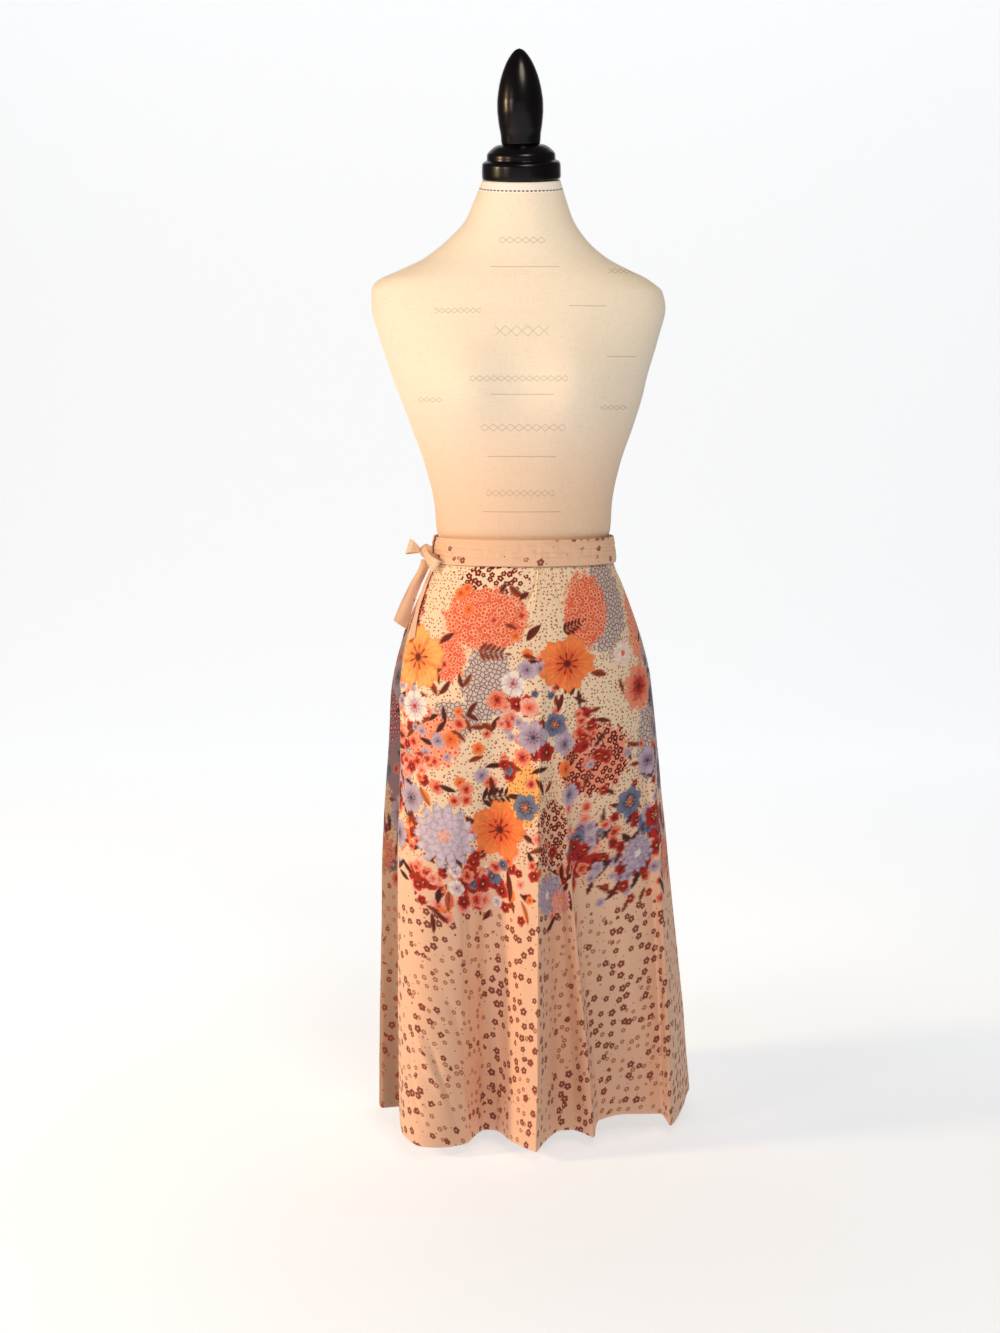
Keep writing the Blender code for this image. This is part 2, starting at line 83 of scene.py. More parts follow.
def ripple(x, y, seed, octaves=3):
    """Smooth uneven waves between about -1 and 1: a sum of sines of seeded directions and phases."""
    dice = np.random.default_rng(seed)
    total = np.zeros(np.broadcast(x, y).shape)
    weight = 0.0
    for octave in range(octaves):
        for _ in range(3):
            turn, phase = dice.uniform(0, 2 * np.pi, 2)
            pace = 2.0**octave * dice.uniform(0.8, 1.25)
            travel = x * np.cos(turn) + y * np.sin(turn)
            total = total + 0.6**octave * np.sin(2 * np.pi * pace * travel + phase)
            weight += 0.6**octave
    return total / weight * 1.6


def lay_mesh(name, points, faces, material, uv=None, bake_uv=None):
    """faces is a list of integer arrays, each (count, corners); uv and bake_uv hold a pair for each corner."""
    mesh = bpy.data.meshes.new(name)
    points = np.asarray(points, np.float32).reshape(-1, 3)
    corners = np.concatenate([block.ravel() for block in faces]).astype(np.int32)
    sizes = np.concatenate([np.full(len(block), block.shape[1]) for block in faces])
    starts = np.concatenate([[0], np.cumsum(sizes)[:-1]]).astype(np.int32)
    mesh.vertices.add(len(points))
    mesh.vertices.foreach_set("co", points.ravel())
    mesh.loops.add(len(corners))
    mesh.loops.foreach_set("vertex_index", corners)
    mesh.polygons.add(len(starts))
    mesh.polygons.foreach_set("loop_start", starts)
    mesh.update(calc_edges=True)
    mesh.shade_smooth()
    for layer_name, values in (("cloth", uv), ("OFBake", bake_uv)):
        if values is not None:
            layer = mesh.uv_layers.new(name=layer_name)
            layer.data.foreach_set("uv", np.asarray(values, np.float32).ravel())
    mesh.materials.append(material)
    piece = bpy.data.objects.new(name, mesh)
    bpy.context.scene.collection.objects.link(piece)
    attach(piece, "root")
    return piece


def grid_faces(rows, columns, wrap=False, flip=False, first=0):
    """Quads of a grid whose points are numbered row by row. wrap joins the last column to the first."""
    index = first + np.arange(rows * columns).reshape(rows, columns)
    right = np.roll(index, -1, axis=1)
    quads = np.stack([index[:-1], right[:-1], right[1:], index[1:]], axis=-1)
    quads = quads if wrap else quads[:, :-1]
    quads = quads.reshape(-1, 4)
    return quads[:, ::-1] if flip else quads


def grid_normals(points):
    """Unit normals of a grid whose rows run down and whose columns run to the right, seen from outside."""
    normal = np.cross(np.gradient(points, axis=0), np.gradient(points, axis=1))
    return normal / np.maximum(np.linalg.norm(normal, axis=-1, keepdims=True), 1e-12)


# %% [markdown]
# ## The shape of the hanging cloth
# A skirt hangs from the waist and opens into folds at the hem. Each row of the tables below is a line of
# the cloth that runs from waist to hem. It has an angle at the waist and at the hip, and a place on the
# floor plan at the hem. `rise` lifts the hem, and `crease` is 1 where the cloth is pressed into an edge
# and 0 where it rolls. In between, the cloth follows the figure's rings at the top and lets go of them
# lower down.

# %% Tables for the wrap
HEM_Z, WAIST_Z, BAND_TOP_Z = 0.015, 0.752, 0.785
LAP_STEP, FOLD_START, FOLD_POWER, HIP_SHARE = 0.0050, 0.15, 1.15, 0.33
HANG = {
    "z": (0.015, 0.140, 0.270, 0.400, 0.520, 0.590, 0.650, 0.690, 0.722, 0.752, 0.786),
    "half_width": (0.2085, 0.2030, 0.1960, 0.1880, 0.1785, 0.1725, 0.1590, 0.1445, 0.1310, 0.1180, 0.1145),
    "front": (0.172, 0.162, 0.152, 0.142, 0.132, 0.127, 0.121, 0.114, 0.106, 0.0975, 0.0925),
    "back": (0.180, 0.172, 0.162, 0.152, 0.144, 0.138, 0.127, 0.115, 0.1035, 0.0935, 0.0890),
    "centre_x": (0.018, 0.014, 0.009, 0.004, 0.002, 0.000, 0.000, 0.001, 0.002, 0.003, 0.003),
}
COLUMNS = ("waist", "hip", "hem_x", "hem_y", "rise", "crease")
FRONT_LEFT = (
    (-77.0, -59.5, -0.158, -0.118, 0.012, 0.0), (-68.0, -53.5, -0.148, -0.166, 0.003, 0.0),
    (-58.0, -46.0, -0.128, -0.193, 0.000, 0.0), (-44.0, -36.0, -0.100, -0.197, 0.000, 0.0),
    (-28.0, -26.0, -0.072, -0.184, 0.000, 0.3), (-8.0, -17.0, -0.059, -0.150, 0.001, 0.2),
    (3.0, -12.0, -0.047, -0.128, 0.000, 0.0), (6.5, -6.7, -0.033, -0.130, 0.000, 0.6),
    (8.0, 0.0, -0.010, -0.178, 0.000, 0.0), (9.5, 5.6, 0.018, -0.216, 0.000, 1.0),
)
FRONT_RIGHT = (
    (13.0, 9.0, 0.034, -0.162, 0.000, 0.0), (17.0, 11.5, 0.050, -0.130, 0.000, 0.3),
    (20.5, 13.5, 0.069, -0.128, 0.000, 0.5), (24.0, 15.5, 0.093, -0.160, 0.000, 0.8),
    (32.0, 20.5, 0.101, -0.108, 0.006, 0.5), (44.0, 36.0, 0.130, -0.092, 0.009, 0.0),
    (58.0, 54.0, 0.166, -0.087, 0.008, 0.0), (66.0, 63.0, 0.187, -0.082, 0.006, 0.6),
    (70.0, 66.0, 0.196, -0.112, 0.000, 0.6), (80.0, 78.0, 0.213, -0.060, 0.002, 0.0),
    (90.0, 90.0, 0.226, 0.005, 0.004, 0.0),
)
BACK = {"first": 103.0, "last": 257.0, "rows": 14, "reach": 0.017, "sway": 0.005}
UNDER_LAP = (
    (270.0, 270.0, -0.191, 0.000, 0.004, 0.0), (278.0, 280.0, -0.188, -0.050, 0.004, 0.5),
    (286.0, 290.0, -0.165, -0.048, 0.005, 0.3), (292.0, 299.0, -0.149, -0.085, 0.006, 0.0),
    (299.0, 307.0, -0.140, -0.125, 0.006, 0.0), (306.0, 315.0, -0.126, -0.160, 0.006, 0.0),
    (318.0, 325.0, -0.103, -0.176, 0.006, 0.0), (332.0, 335.0, -0.080, -0.158, 0.006, 0.0),
    (350.0, 343.0, -0.065, -0.124, 0.006, 0.0), (358.0, 349.0, -0.052, -0.106, 0.006, 0.0),
)
SQUARENESS = 2.15


def ring(table, z, degrees, out=0.0):
    """A superellipse round the table's ring at height z: x = c + a sin^p, y = -b cos^p, p = 2 / squareness."""
    angle = np.radians(degrees)
    side, ahead = np.sin(angle), np.cos(angle)
    power = 2.0 / SQUARENESS
    side = np.sign(side) * np.abs(side) ** power
    ahead = np.sign(ahead) * np.abs(ahead) ** power
    depth = np.where(ahead > 0, through(table["z"], table["front"], z), through(table["z"], table["back"], z))
    x = through(table["z"], table["centre_x"], z) + (through(table["z"], table["half_width"], z) + out) * side
    return x, -(depth + out) * ahead


def back_rows():
    """Meridians round the back: ridges and valleys in turn, their reach swaying so that no two are alike."""
    k = np.arange(BACK["rows"])
    share = k / (BACK["rows"] - 1)
    degrees = BACK["first"] + share * (BACK["last"] - BACK["first"])
    out = BACK["reach"] * np.cos(np.pi * k) + BACK["sway"] * np.sin(2.3 * k)
    out *= np.sin(np.pi * (0.12 + 0.76 * share)) ** 0.5
    x, y = ring(HANG, np.full(len(k), HEM_Z), degrees, out)
    return tuple(zip(degrees, degrees, x, y, np.full(len(k), 0.004), np.zeros(len(k))))


ROWS = np.array(FRONT_LEFT + FRONT_RIGHT + back_rows() + UNDER_LAP)
WRAP = {name: ROWS[:, k] for k, name in enumerate(COLUMNS)}
ROW_AT = np.concatenate([[0.0], np.cumsum(np.hypot(np.diff(WRAP["hem_x"]), np.diff(WRAP["hem_y"])))])
SEAM_RIDGE = len(FRONT_LEFT) - 1
RIGHT_SIDE = SEAM_RIDGE + len(FRONT_RIGHT) + 0.5
CENTRE_BACK = RIGHT_SIDE + BACK["rows"] // 2
LEFT_SIDE = RIGHT_SIDE + BACK["rows"]
INNER_EDGE = len(ROWS) - 1
print("the wrap's hem is", round(float(ROW_AT[-1]), 3), "m along its folds")


# %% [markdown]
# The surface itself is one function of two numbers: how far along the hem, and how far down. The hem's
# curve breaks at a pressed edge, which is what makes the front seam stand up as a sharp ridge.


# %% The wrap as a surface
def hem_curve(column, along):
    """A column of WRAP along the hem: a Hermite curve, its slope shared at a roll and broken at a crease."""
    values = WRAP[column]
    chord = np.diff(values) / np.diff(ROW_AT)
    before, after = np.concatenate([chord[:1], chord]), np.concatenate([chord, chord[-1:]])
    span = np.concatenate([[1.0], np.diff(ROW_AT), [1.0]])
    middle = (before * span[1:] + after * span[:-1]) / (span[:-1] + span[1:])
    leaving = middle + (after - middle) * WRAP["crease"]
    arriving = middle + (before - middle) * WRAP["crease"]
    left = np.clip(np.searchsorted(ROW_AT, along) - 1, 0, len(chord) - 1)
    width = (ROW_AT[1:] - ROW_AT[:-1])[left]
    t = (along - ROW_AT[left]) / width
    return (
        (1 + 2 * t) * (1 - t) ** 2 * values[left]
        + t * (1 - t) ** 2 * width * leaving[left]
        + t**2 * (3 - 2 * t) * values[left + 1]
        + t**2 * (t - 1) * width * arriving[left + 1]
    )


def angle_down(waist, hip, hem, share):
    """The angle of a meridian on its way down: waist to hip to hem, each leg a curve with no overshoot."""
    upper, lower = (hip - waist) / HIP_SHARE, (hem - hip) / (1 - HIP_SHARE)
    agree = upper * lower > 0
    tangent = np.where(agree, 2 * upper * lower / np.where(agree, upper + lower, 1.0), 0.0)
    above = share < HIP_SHARE
    width = np.where(above, HIP_SHARE, 1 - HIP_SHARE)
    t = np.where(above, share, share - HIP_SHARE) / width
    start, end = np.where(above, waist, hip), np.where(above, hip, hem)
    first, last = np.where(above, upper, tangent), np.where(above, tangent, lower)
    return (
        (1 + 2 * t) * (1 - t) ** 2 * start
        + t * (1 - t) ** 2 * width * first
        + t**2 * (3 - 2 * t) * end
        + t**2 * (t - 1) * width * last
    )


def wrap_points(along, share):
    """Points of the wrap: a ring at each height, and below FOLD_START a growing share of the hem's fold."""
    waist, hip = (through(ROW_AT, WRAP[name], along) for name in ("waist", "hip"))
    hem_x, hem_y = (hem_curve(name, along) for name in ("hem_x", "hem_y"))
    rise = through(ROW_AT, WRAP["rise"], along)
    z = WAIST_Z + (HEM_Z - WAIST_Z) * share
    half_width, centre = (through(HANG["z"], HANG[name], HEM_Z) for name in ("half_width", "centre_x"))
    ahead, behind = (through(HANG["z"], HANG[name], HEM_Z) for name in ("front", "back"))
    depth = np.where(hem_y < 0, ahead, behind)
    hem = np.degrees(np.arctan2((hem_x - centre) / half_width, -hem_y / depth))
    hem += 360 * np.round((waist - hem) / 360)
    angle = angle_down(waist, hip, hem, share)
    lap = LAP_STEP * (0.5 - (waist - WRAP["waist"][0]) / (WRAP["waist"][-1] - WRAP["waist"][0]))
    x, y = ring(HANG, z, angle, lap)
    flat_x, flat_y = ring(HANG, np.full_like(hem, HEM_Z), hem)
    fold = np.clip((share - FOLD_START) / (1 - FOLD_START), 0, 1) ** FOLD_POWER
    return np.stack([x + fold * (hem_x - flat_x), y + fold * (hem_y - flat_y), z + rise * share**3], axis=-1)


# %% [markdown]
# ## Creases
# Cloth that has been worn and packed is never smooth. The large folds are in the tables above. The small
# ones are listed here: each row says where a soft trough or ridge starts and ends on the wrap,
# how deep it is and how wide. The gathers under the band and a faint unevenness come on top of them.

# %% Creases
CREASES = np.array((  # start along, start share, end along, end share, depth, half width
    (0.235, 0.000, 0.190, 0.115, -0.0022, 0.0030), (0.262, 0.000, 0.232, 0.090, 0.0012, 0.0050),
    (0.160, 0.000, 0.150, 0.060, -0.0010, 0.0040), (0.060, 0.010, 0.085, 0.120, 0.0012, 0.0080),
    (0.410, 0.000, 0.425, 0.080, -0.0012, 0.0040), (0.520, 0.000, 0.560, 0.120, -0.0010, 0.0070),
    (0.020, 0.050, 0.030, 0.600, 0.0016, 0.0110), (0.100, 0.300, 0.090, 0.960, 0.0020, 0.0140),
    (0.060, 0.820, 0.088, 0.990, -0.0020, 0.0050), (0.078, 0.760, 0.112, 0.940, 0.0018, 0.0060),
    (0.100, 0.800, 0.128, 0.985, -0.0018, 0.0045), (0.050, 0.880, 0.064, 1.000, 0.0016, 0.0050),
    (0.122, 0.720, 0.150, 0.900, -0.0014, 0.0070), (0.135, 0.880, 0.150, 1.000, 0.0014, 0.0060),
    (0.150, 0.350, 0.165, 0.800, -0.0020, 0.0090), (0.275, 0.560, 0.282, 1.000, 0.0012, 0.0080),
    (0.560, 0.420, 0.585, 0.980, 0.0016, 0.0120), (0.610, 0.500, 0.620, 0.950, -0.0014, 0.0100),
    (0.650, 0.640, 0.668, 1.000, 0.0014, 0.0080), (0.700, 0.300, 0.705, 0.800, -0.0016, 0.0090),
    (0.840, 0.100, 0.860, 0.700, 0.0020, 0.0140), (0.960, 0.450, 0.985, 0.980, -0.0020, 0.0090),
    (1.030, 0.050, 1.020, 0.420, -0.0018, 0.0110), (1.160, 0.500, 1.150, 0.960, 0.0022, 0.0120),
    (1.250, 0.080, 1.262, 0.460, 0.0016, 0.0100), (1.330, 0.600, 1.345, 0.990, -0.0018, 0.0080),
    (1.420, 0.150, 1.405, 0.700, 0.0018, 0.0120), (1.505, 0.300, 1.500, 0.940, -0.0016, 0.0080),
))


def crease_height(along, share):
    """How far the creases push the cloth out: on each row's line a Gaussian section that fades at both ends."""
    height = np.zeros_like(along)
    for start_along, start_share, end_along, end_share, depth, half_width in CREASES:
        t = (share - start_share) / (end_share - start_share)
        line = start_along + (end_along - start_along) * t + 0.004 * np.sin(5.0 * t + 40 * start_along)
        ends = soft_step(-0.04 if start_share == 0.0 else 0.0, 0.30, t) * soft_step(1.0, 0.62, t)
        ends = np.where(start_share == 0.0, np.where(t < 0, 0.0, soft_step(1.0, 0.45, t)), ends)
        height += depth * ends * np.exp(-(((along - line) / half_width) ** 2))
    gathers = np.sin(2 * np.pi * along / 0.017 + 2.5 * ripple(along * 9, share * 0, 5)) * np.exp(-share / 0.045)
    height += 0.0005 * gathers * (0.6 + 0.4 * ripple(along * 11, share * 0, 6))
    return height + 0.0007 * ripple(along * 7, share * 3.0, 7) * soft_step(0.0, 0.2, share)


# %% [markdown]
# ## A shell with two faces
# Cloth has a right side and a wrong side. `cloth_shell` takes the fine grid of the right side, sets a
# coarser wrong side a wall's thickness behind it, and closes the rim with faces that have one corner of
# the wrong side for every third corner of the right side. The mesh has no gap, and the print gets its
# fine grid only where it is seen.

# %% Walls of cloth
CLOTH_WALL = 0.0010
REVERSE_EVERY = 3


def arc_lengths(points, axis):
    """Distances travelled along a grid's rows or columns."""
    step = np.linalg.norm(np.diff(points, axis=axis), axis=-1)
    lead = np.zeros_like(np.take(step, [0], axis=axis))
    return np.concatenate([lead, np.cumsum(step, axis=axis)], axis=axis)


def cloth_shell(name, middle, wall, material, cloth_uv):
    """middle (rows, columns, 3) runs down and to the right; its right side is half a wall in front of it."""
    normal = grid_normals(middle)
    fewer = (slice(None, None, REVERSE_EVERY), slice(None, None, REVERSE_EVERY))
    outer, inner = middle + normal * wall / 2, (middle - normal * wall / 2)[fewer]
    rows, columns = outer.shape[:2]
    few_rows, few_columns = inner.shape[:2]
    assert (rows - 1) % REVERSE_EVERY == 0 and (columns - 1) % REVERSE_EVERY == 0
    count = rows * columns
    outer_index = np.arange(count).reshape(rows, columns)
    inner_index = count + np.arange(few_rows * few_columns).reshape(few_rows, few_columns)

    def rim(outer_line, inner_line, flip):
        starts = np.arange(len(inner_line) - 1)
        near = outer_line[starts[:, None] * REVERSE_EVERY + np.arange(REVERSE_EVERY + 1)]
        faces = np.concatenate([near, inner_line[starts + 1][:, None], inner_line[starts][:, None]], axis=1)
        return faces[:, ::-1] if flip else faces

    rims = np.concatenate([
        rim(outer_index[0], inner_index[0], False), rim(outer_index[-1], inner_index[-1], True),
        rim(outer_index[:, 0], inner_index[:, 0], True), rim(outer_index[:, -1], inner_index[:, -1], False),
    ])
    blocks = [grid_faces(rows, columns, flip=True), grid_faces(few_rows, few_columns, first=count), rims]
    u, v = cloth_uv
    metric = np.stack([u, -v], axis=-1)
    all_metric = np.concatenate([metric.reshape(-1, 2), metric[fewer].reshape(-1, 2)])
    column_share, row_share = np.meshgrid(np.linspace(0, 1, columns), np.linspace(1, 0, rows))
    face_bake = np.stack([0.005 + 0.615 * column_share, 0.005 + 0.99 * row_share], axis=-1)
    back_bake = np.stack([0.64 + 0.35 * column_share, 0.005 + 0.99 * row_share], axis=-1)[fewer]
    bake = np.concatenate([face_bake.reshape(-1, 2), back_bake.reshape(-1, 2)])
    rim_bake = np.concatenate([face_bake.reshape(-1, 2), face_bake[fewer].reshape(-1, 2) + 0.002])
    bake_uv = np.concatenate([bake[blocks[0].ravel()], bake[blocks[1].ravel()], rim_bake[rims.ravel()]])
    uv = np.concatenate([all_metric[block.ravel()] for block in blocks])
    points = np.concatenate([outer.reshape(-1, 3), inner.reshape(-1, 3)])
    piece = lay_mesh(name, points, blocks, material, uv, bake_uv)
    side = piece.data.attributes.new("wrong_side", "FLOAT", "POINT")
    side.data.foreach_set("value", (np.arange(len(points)) >= count).astype(np.float32))
    return piece


def paint(piece, layers, shape):
    """Stores arrays on a piece's points: the right side in full and, on a shell, every third behind it."""
    rows, columns = shape
    one_sided = len(piece.data.vertices) == rows * columns
    for name, values in layers.items():
        values = values.reshape(rows, columns, -1)
        both = values.reshape(rows * columns, -1)
        if not one_sided:
            behind = values[::REVERSE_EVERY, ::REVERSE_EVERY]
            both = np.concatenate([both, behind.reshape(-1, values.shape[-1])])
        kind = {1: "FLOAT", 3: "FLOAT_VECTOR", 4: "FLOAT_COLOR"}[values.shape[-1]]
        slot = {1: "value", 3: "vector", 4: "color"}[values.shape[-1]]
        layer = piece.data.attributes.new(name, kind, "POINT")
        layer.data.foreach_set(slot, np.ascontiguousarray(both, np.float32).ravel())


# %% [markdown]
# ## Finishes: helpers
# A finish is a Principled shader with a few node groups in front of it. Colours are written the way a
# colour picker shows them, and `linear` turns them into values that add and multiply as light does.


# %% Colour and node helpers
def linear(*srgb):
    """sRGB 0..1 to linear: c / 12.92 near black, and ((c + 0.055) / 1.055) ** 2.4 above."""
    c = np.asarray(srgb, float)
    return np.where(c <= 0.04045, c / 12.92, ((c + 0.055) / 1.055) ** 2.4)


def new_finish(name, roughness=0.8, **sockets):
    """A material, its Principled shader and a function that adds nodes to it."""
    material = bpy.data.materials.new(name)
    material.use_nodes = True
    shader = material.node_tree.nodes["Principled BSDF"]
    shader.inputs["Roughness"].default_value = roughness
    for socket, value in sockets.items():
        shader.inputs[socket.replace("_", " ")].default_value = value
    return material, shader, node_maker(material.node_tree)


def node_maker(tree):
    """make(kind, inputs, **settings) adds one node; an input is a number, a colour or another node's socket."""

    def make(kind, inputs=None, **settings):
        made = tree.nodes.new(kind)
        for key, value in settings.items():
            setattr(made, key, value)
        for key, value in (inputs or {}).items():
            if isinstance(value, bpy.types.NodeSocket):
                tree.links.new(value, made.inputs[key])
            else:
                made.inputs[key].default_value = value
        return made

    return make


def sums(make):
    """Short names for the maths nodes, so that a pattern reads like its formula."""

    def maths(operation, *values, clamp=False):
        return make("ShaderNodeMath", dict(enumerate(values)), operation=operation, use_clamp=clamp).outputs[0]

    def mix(share, first, second, blend="MIX"):
        made = make("ShaderNodeMix", None, data_type="RGBA", blend_type=blend)
        for index, value in ((0, share), (6, first), (7, second)):
            if isinstance(value, bpy.types.NodeSocket):
                made.id_data.links.new(value, made.inputs[index])
            else:
                made.inputs[index].default_value = value if index == 0 else (*np.asarray(value, float)[:3], 1.0)
        return made.outputs[2]

    def edge(value, low, high):
        ends = {0: value, 1: low, 2: high}
        return make("ShaderNodeMapRange", ends, interpolation_type="SMOOTHSTEP").outputs[0]

    return maths, mix, edge


def new_group(name, inputs, outputs):
    """An empty node group: (name, kind, value) for each input and (name, kind) for each output."""
    group = bpy.data.node_groups.new(name, "ShaderNodeTree")
    for label, kind, value in inputs:
        socket = group.interface.new_socket(label, in_out="INPUT", socket_type=kind)
        if value is not None:
            socket.default_value = value
    for label, kind in outputs:
        group.interface.new_socket(label, in_out="OUTPUT", socket_type=kind)
    return group, node_maker(group), group.nodes.new("NodeGroupInput"), group.nodes.new("NodeGroupOutput")


# %% [markdown]
# ## Weave
# Skirt cloth and linen are both plain weaves. One group makes them both: two sets of threads cross, each
# thread is a little thicker here and thinner there, and the group puts out a height for the bump and a
# mask for slubs.

# %% The weave group
weave_group, make, entry, result = new_group(
    "plain_weave",
    (("Threads", "NodeSocketVector", None), ("Pitch", "NodeSocketFloat", 0.0008),
     ("Unevenness", "NodeSocketFloat", 0.3)),
    (("Height", "NodeSocketFloat"), ("Slub", "NodeSocketFloat")),
)
maths, mix, edge = sums(make)
rough = {"Vector": entry.outputs["Threads"], "Scale": 220.0, "Detail": 2.0}
uneven = make("ShaderNodeTexNoise", rough).outputs["Fac"]
drift = maths("MULTIPLY", maths("SUBTRACT", uneven, 0.5), entry.outputs["Unevenness"])
axes = make("ShaderNodeSeparateXYZ", {0: entry.outputs["Threads"]})
over = [maths("ADD", maths("DIVIDE", axes.outputs[k], entry.outputs["Pitch"]), drift) for k in (0, 1)]
waves = [maths("ABSOLUTE", maths("SINE", maths("MULTIPLY", value, math.pi))) for value in over]
height = maths("MULTIPLY", maths("ADD", waves[0], waves[1]), 0.5)
SLUB_SHORT, SLUB_LONG = 900.0, 60.0  # how often the thickness changes across a thread and along it, per metre
slubs = []
for stretch in ((SLUB_SHORT, SLUB_LONG, 1.0), (SLUB_LONG, SLUB_SHORT, 1.0)):
    drawn = make("ShaderNodeVectorMath", {0: entry.outputs["Threads"], 1: stretch}, operation="MULTIPLY")
    uneven = make("ShaderNodeTexNoise", {"Vector": drawn.outputs[0], "Scale": 1.0}).outputs["Fac"]
    slubs.append(edge(uneven, 0.45, 0.75))
slub = maths("MULTIPLY", maths("ADD", *slubs), 0.5)
weave_group.links.new(height, result.inputs["Height"])
weave_group.links.new(slub, result.inputs["Slub"])
print("weave group nodes", len(weave_group.nodes))

# %% [markdown]
# ## Brushes for the print
# The print is many small ordinary flowers and leaves over patches of tiny rings and dots. A real one is
# engraved on screens at full size. Here it is painted on the fine grid of each panel, in metres of flat
# cloth, because a grid that is already there needs no picture file. Every brush works only near its own
# place, and the sheet of print repeats round the skirt.

# %% Brushes
CM = 0.01
REPEAT_U = 0.58
INK_EDGE = 0.0007
SMALLEST_WITH_STAMENS, STEM_WIDTH, RIB_WIDTH = 0.014, 0.0011, 0.0005
INKS = {
    "cream": (0.96, 0.86, 0.74), "peach": (0.95, 0.77, 0.65), "white": (0.98, 0.93, 0.89),
    "amber": (0.99, 0.72, 0.42), "orange": (0.97, 0.54, 0.29), "flame": (0.90, 0.36, 0.19),
    "coral": (0.91, 0.41, 0.29), "salmon": (0.96, 0.60, 0.48), "pink": (0.96, 0.71, 0.66),
    "red": (0.75, 0.17, 0.13),
    "brown_red": (0.50, 0.15, 0.12), "maroon": (0.42, 0.10, 0.10), "brown": (0.45, 0.17, 0.11),
    "rust": (0.64, 0.27, 0.15), "umber": (0.28, 0.12, 0.10), "salmon_light": (0.98, 0.76, 0.64),
    "dusk": (0.46, 0.37, 0.38), "ash": (0.84, 0.76, 0.73), "lilac": (0.86, 0.78, 0.84),
    "lavender": (0.78, 0.70, 0.77), "mauve": (0.62, 0.50, 0.58), "steel": (0.47, 0.50, 0.60),
    "slate": (0.26, 0.26, 0.36),
}
INKS = {name: np.array(ink) for name, ink in INKS.items()}


def blank_sheet(u, v):
    """A stretch of cloth to print on: colours, what motifs cover, and the weights of small patterns."""
    return dict(
        u=u, v=v, rgb=np.zeros((*u.shape, 3)), cover=np.zeros(u.shape), fields=np.zeros((*u.shape, 4)),
        scatter=np.zeros((*u.shape, 3)))


def near(sheet, place, reach, degrees=0.0):
    """Points within reach of a place, and where they lie as seen from it, turned by some degrees."""
    x = (sheet["u"] - place[0] * CM + REPEAT_U / 2) % REPEAT_U - REPEAT_U / 2
    y = place[1] * CM - sheet["v"]
    inside = np.nonzero((np.abs(x) < reach) & (np.abs(y) < reach))
    x, y = x[inside], y[inside]
    cosine, sine = math.cos(math.radians(degrees)), math.sin(math.radians(degrees))
    return inside, x * cosine + y * sine, y * cosine - x * sine


def lay(sheet, inside, mask, ink):
    """Covers with ink where the mask is 1."""
    sheet["rgb"][inside] += (np.asarray(ink) - sheet["rgb"][inside]) * mask[:, None]
    sheet["cover"][inside] = np.maximum(sheet["cover"][inside], mask)


def blend(first, second, share):
    """The first ink where share is 0, the second where it is 1."""
    return INKS[first] + (INKS[second] - INKS[first]) * np.clip(share, 0, 1)[:, None]


def blossom(sheet, place, radius, petals, inks, degrees=0.0, gap=0.26, ruffle=0.05, lines=0.6, eye=0.13):
    """Petals end at radius (1 - gap + gap |cos(n t / 2)|^0.6), and the heart's ink spreads along fine veins."""
    inside, x, y = near(sheet, place, radius * 1.15, degrees)
    heart, tip, line, centre = inks
    r, t = np.hypot(x, y) / radius, np.arctan2(y, x)
    lobe = np.abs(np.cos(petals * t / 2))
    wash = ripple(x * 90, y * 90, int(place[0] * 10) % 97 + 300, 2)
    edge = 1 - gap + gap * lobe ** 0.6 + ruffle * (np.sin(petals * 3 * t + 5 * place[0]) + 0.8 * wash)
    mask = soft_step(-INK_EDGE, INK_EDGE, (edge - r) * radius)
    vein = 0.5 + 0.5 * np.cos(petals * 5 * t + 1.5 * wash)
    reach = 0.38 + 0.30 * vein + 0.18 * wash
    ink = blend(heart, tip, soft_step(reach - 0.30, reach + 0.22, r / edge))
    ink = ink * (1 + 0.07 * wash)[:, None]
    between = np.exp(-(lobe / 0.20) ** 2) * soft_step(0.12, 0.5, r) * soft_step(1.02, 0.8, r / edge)
    outline = soft_step(0.88, 1.0, r / edge) * 0.6
    ink = ink + (INKS[line] - ink) * (lines * np.clip(between + outline, 0, 1))[:, None]
    stamens = soft_step(0.55, 0.9, np.cos(9 * t + 2)) * soft_step(0.42, 0.34, r) * soft_step(0.10, 0.2, r)
    stamens = stamens * (radius > SMALLEST_WITH_STAMENS)
    ink = ink + (INKS[centre] - ink) * np.clip(stamens + soft_step(eye + 0.05, eye - 0.05, r), 0, 1)[:, None]
    lay(sheet, inside, mask, np.clip(ink, 0, 1))


def layered_bloom(sheet, place, radius, inks, degrees=0.0, petals=14, layers=4):
    """A chrysanthemum: rings of narrow petals, each ring smaller and turned half a petal from the one below."""
    for k in range(layers):
        size = radius * (1 - 0.21 * k)
        tips = (inks[0], inks[1], inks[2], inks[0])
        blossom(
            sheet, place, size, petals - 2 * k, tips, degrees + 13 * k, gap=0.42, ruffle=0.03, lines=0.9, eye=0.1)
    blossom(sheet, place, radius * 0.22, 5, (inks[3], inks[3], inks[2], inks[3]), degrees)


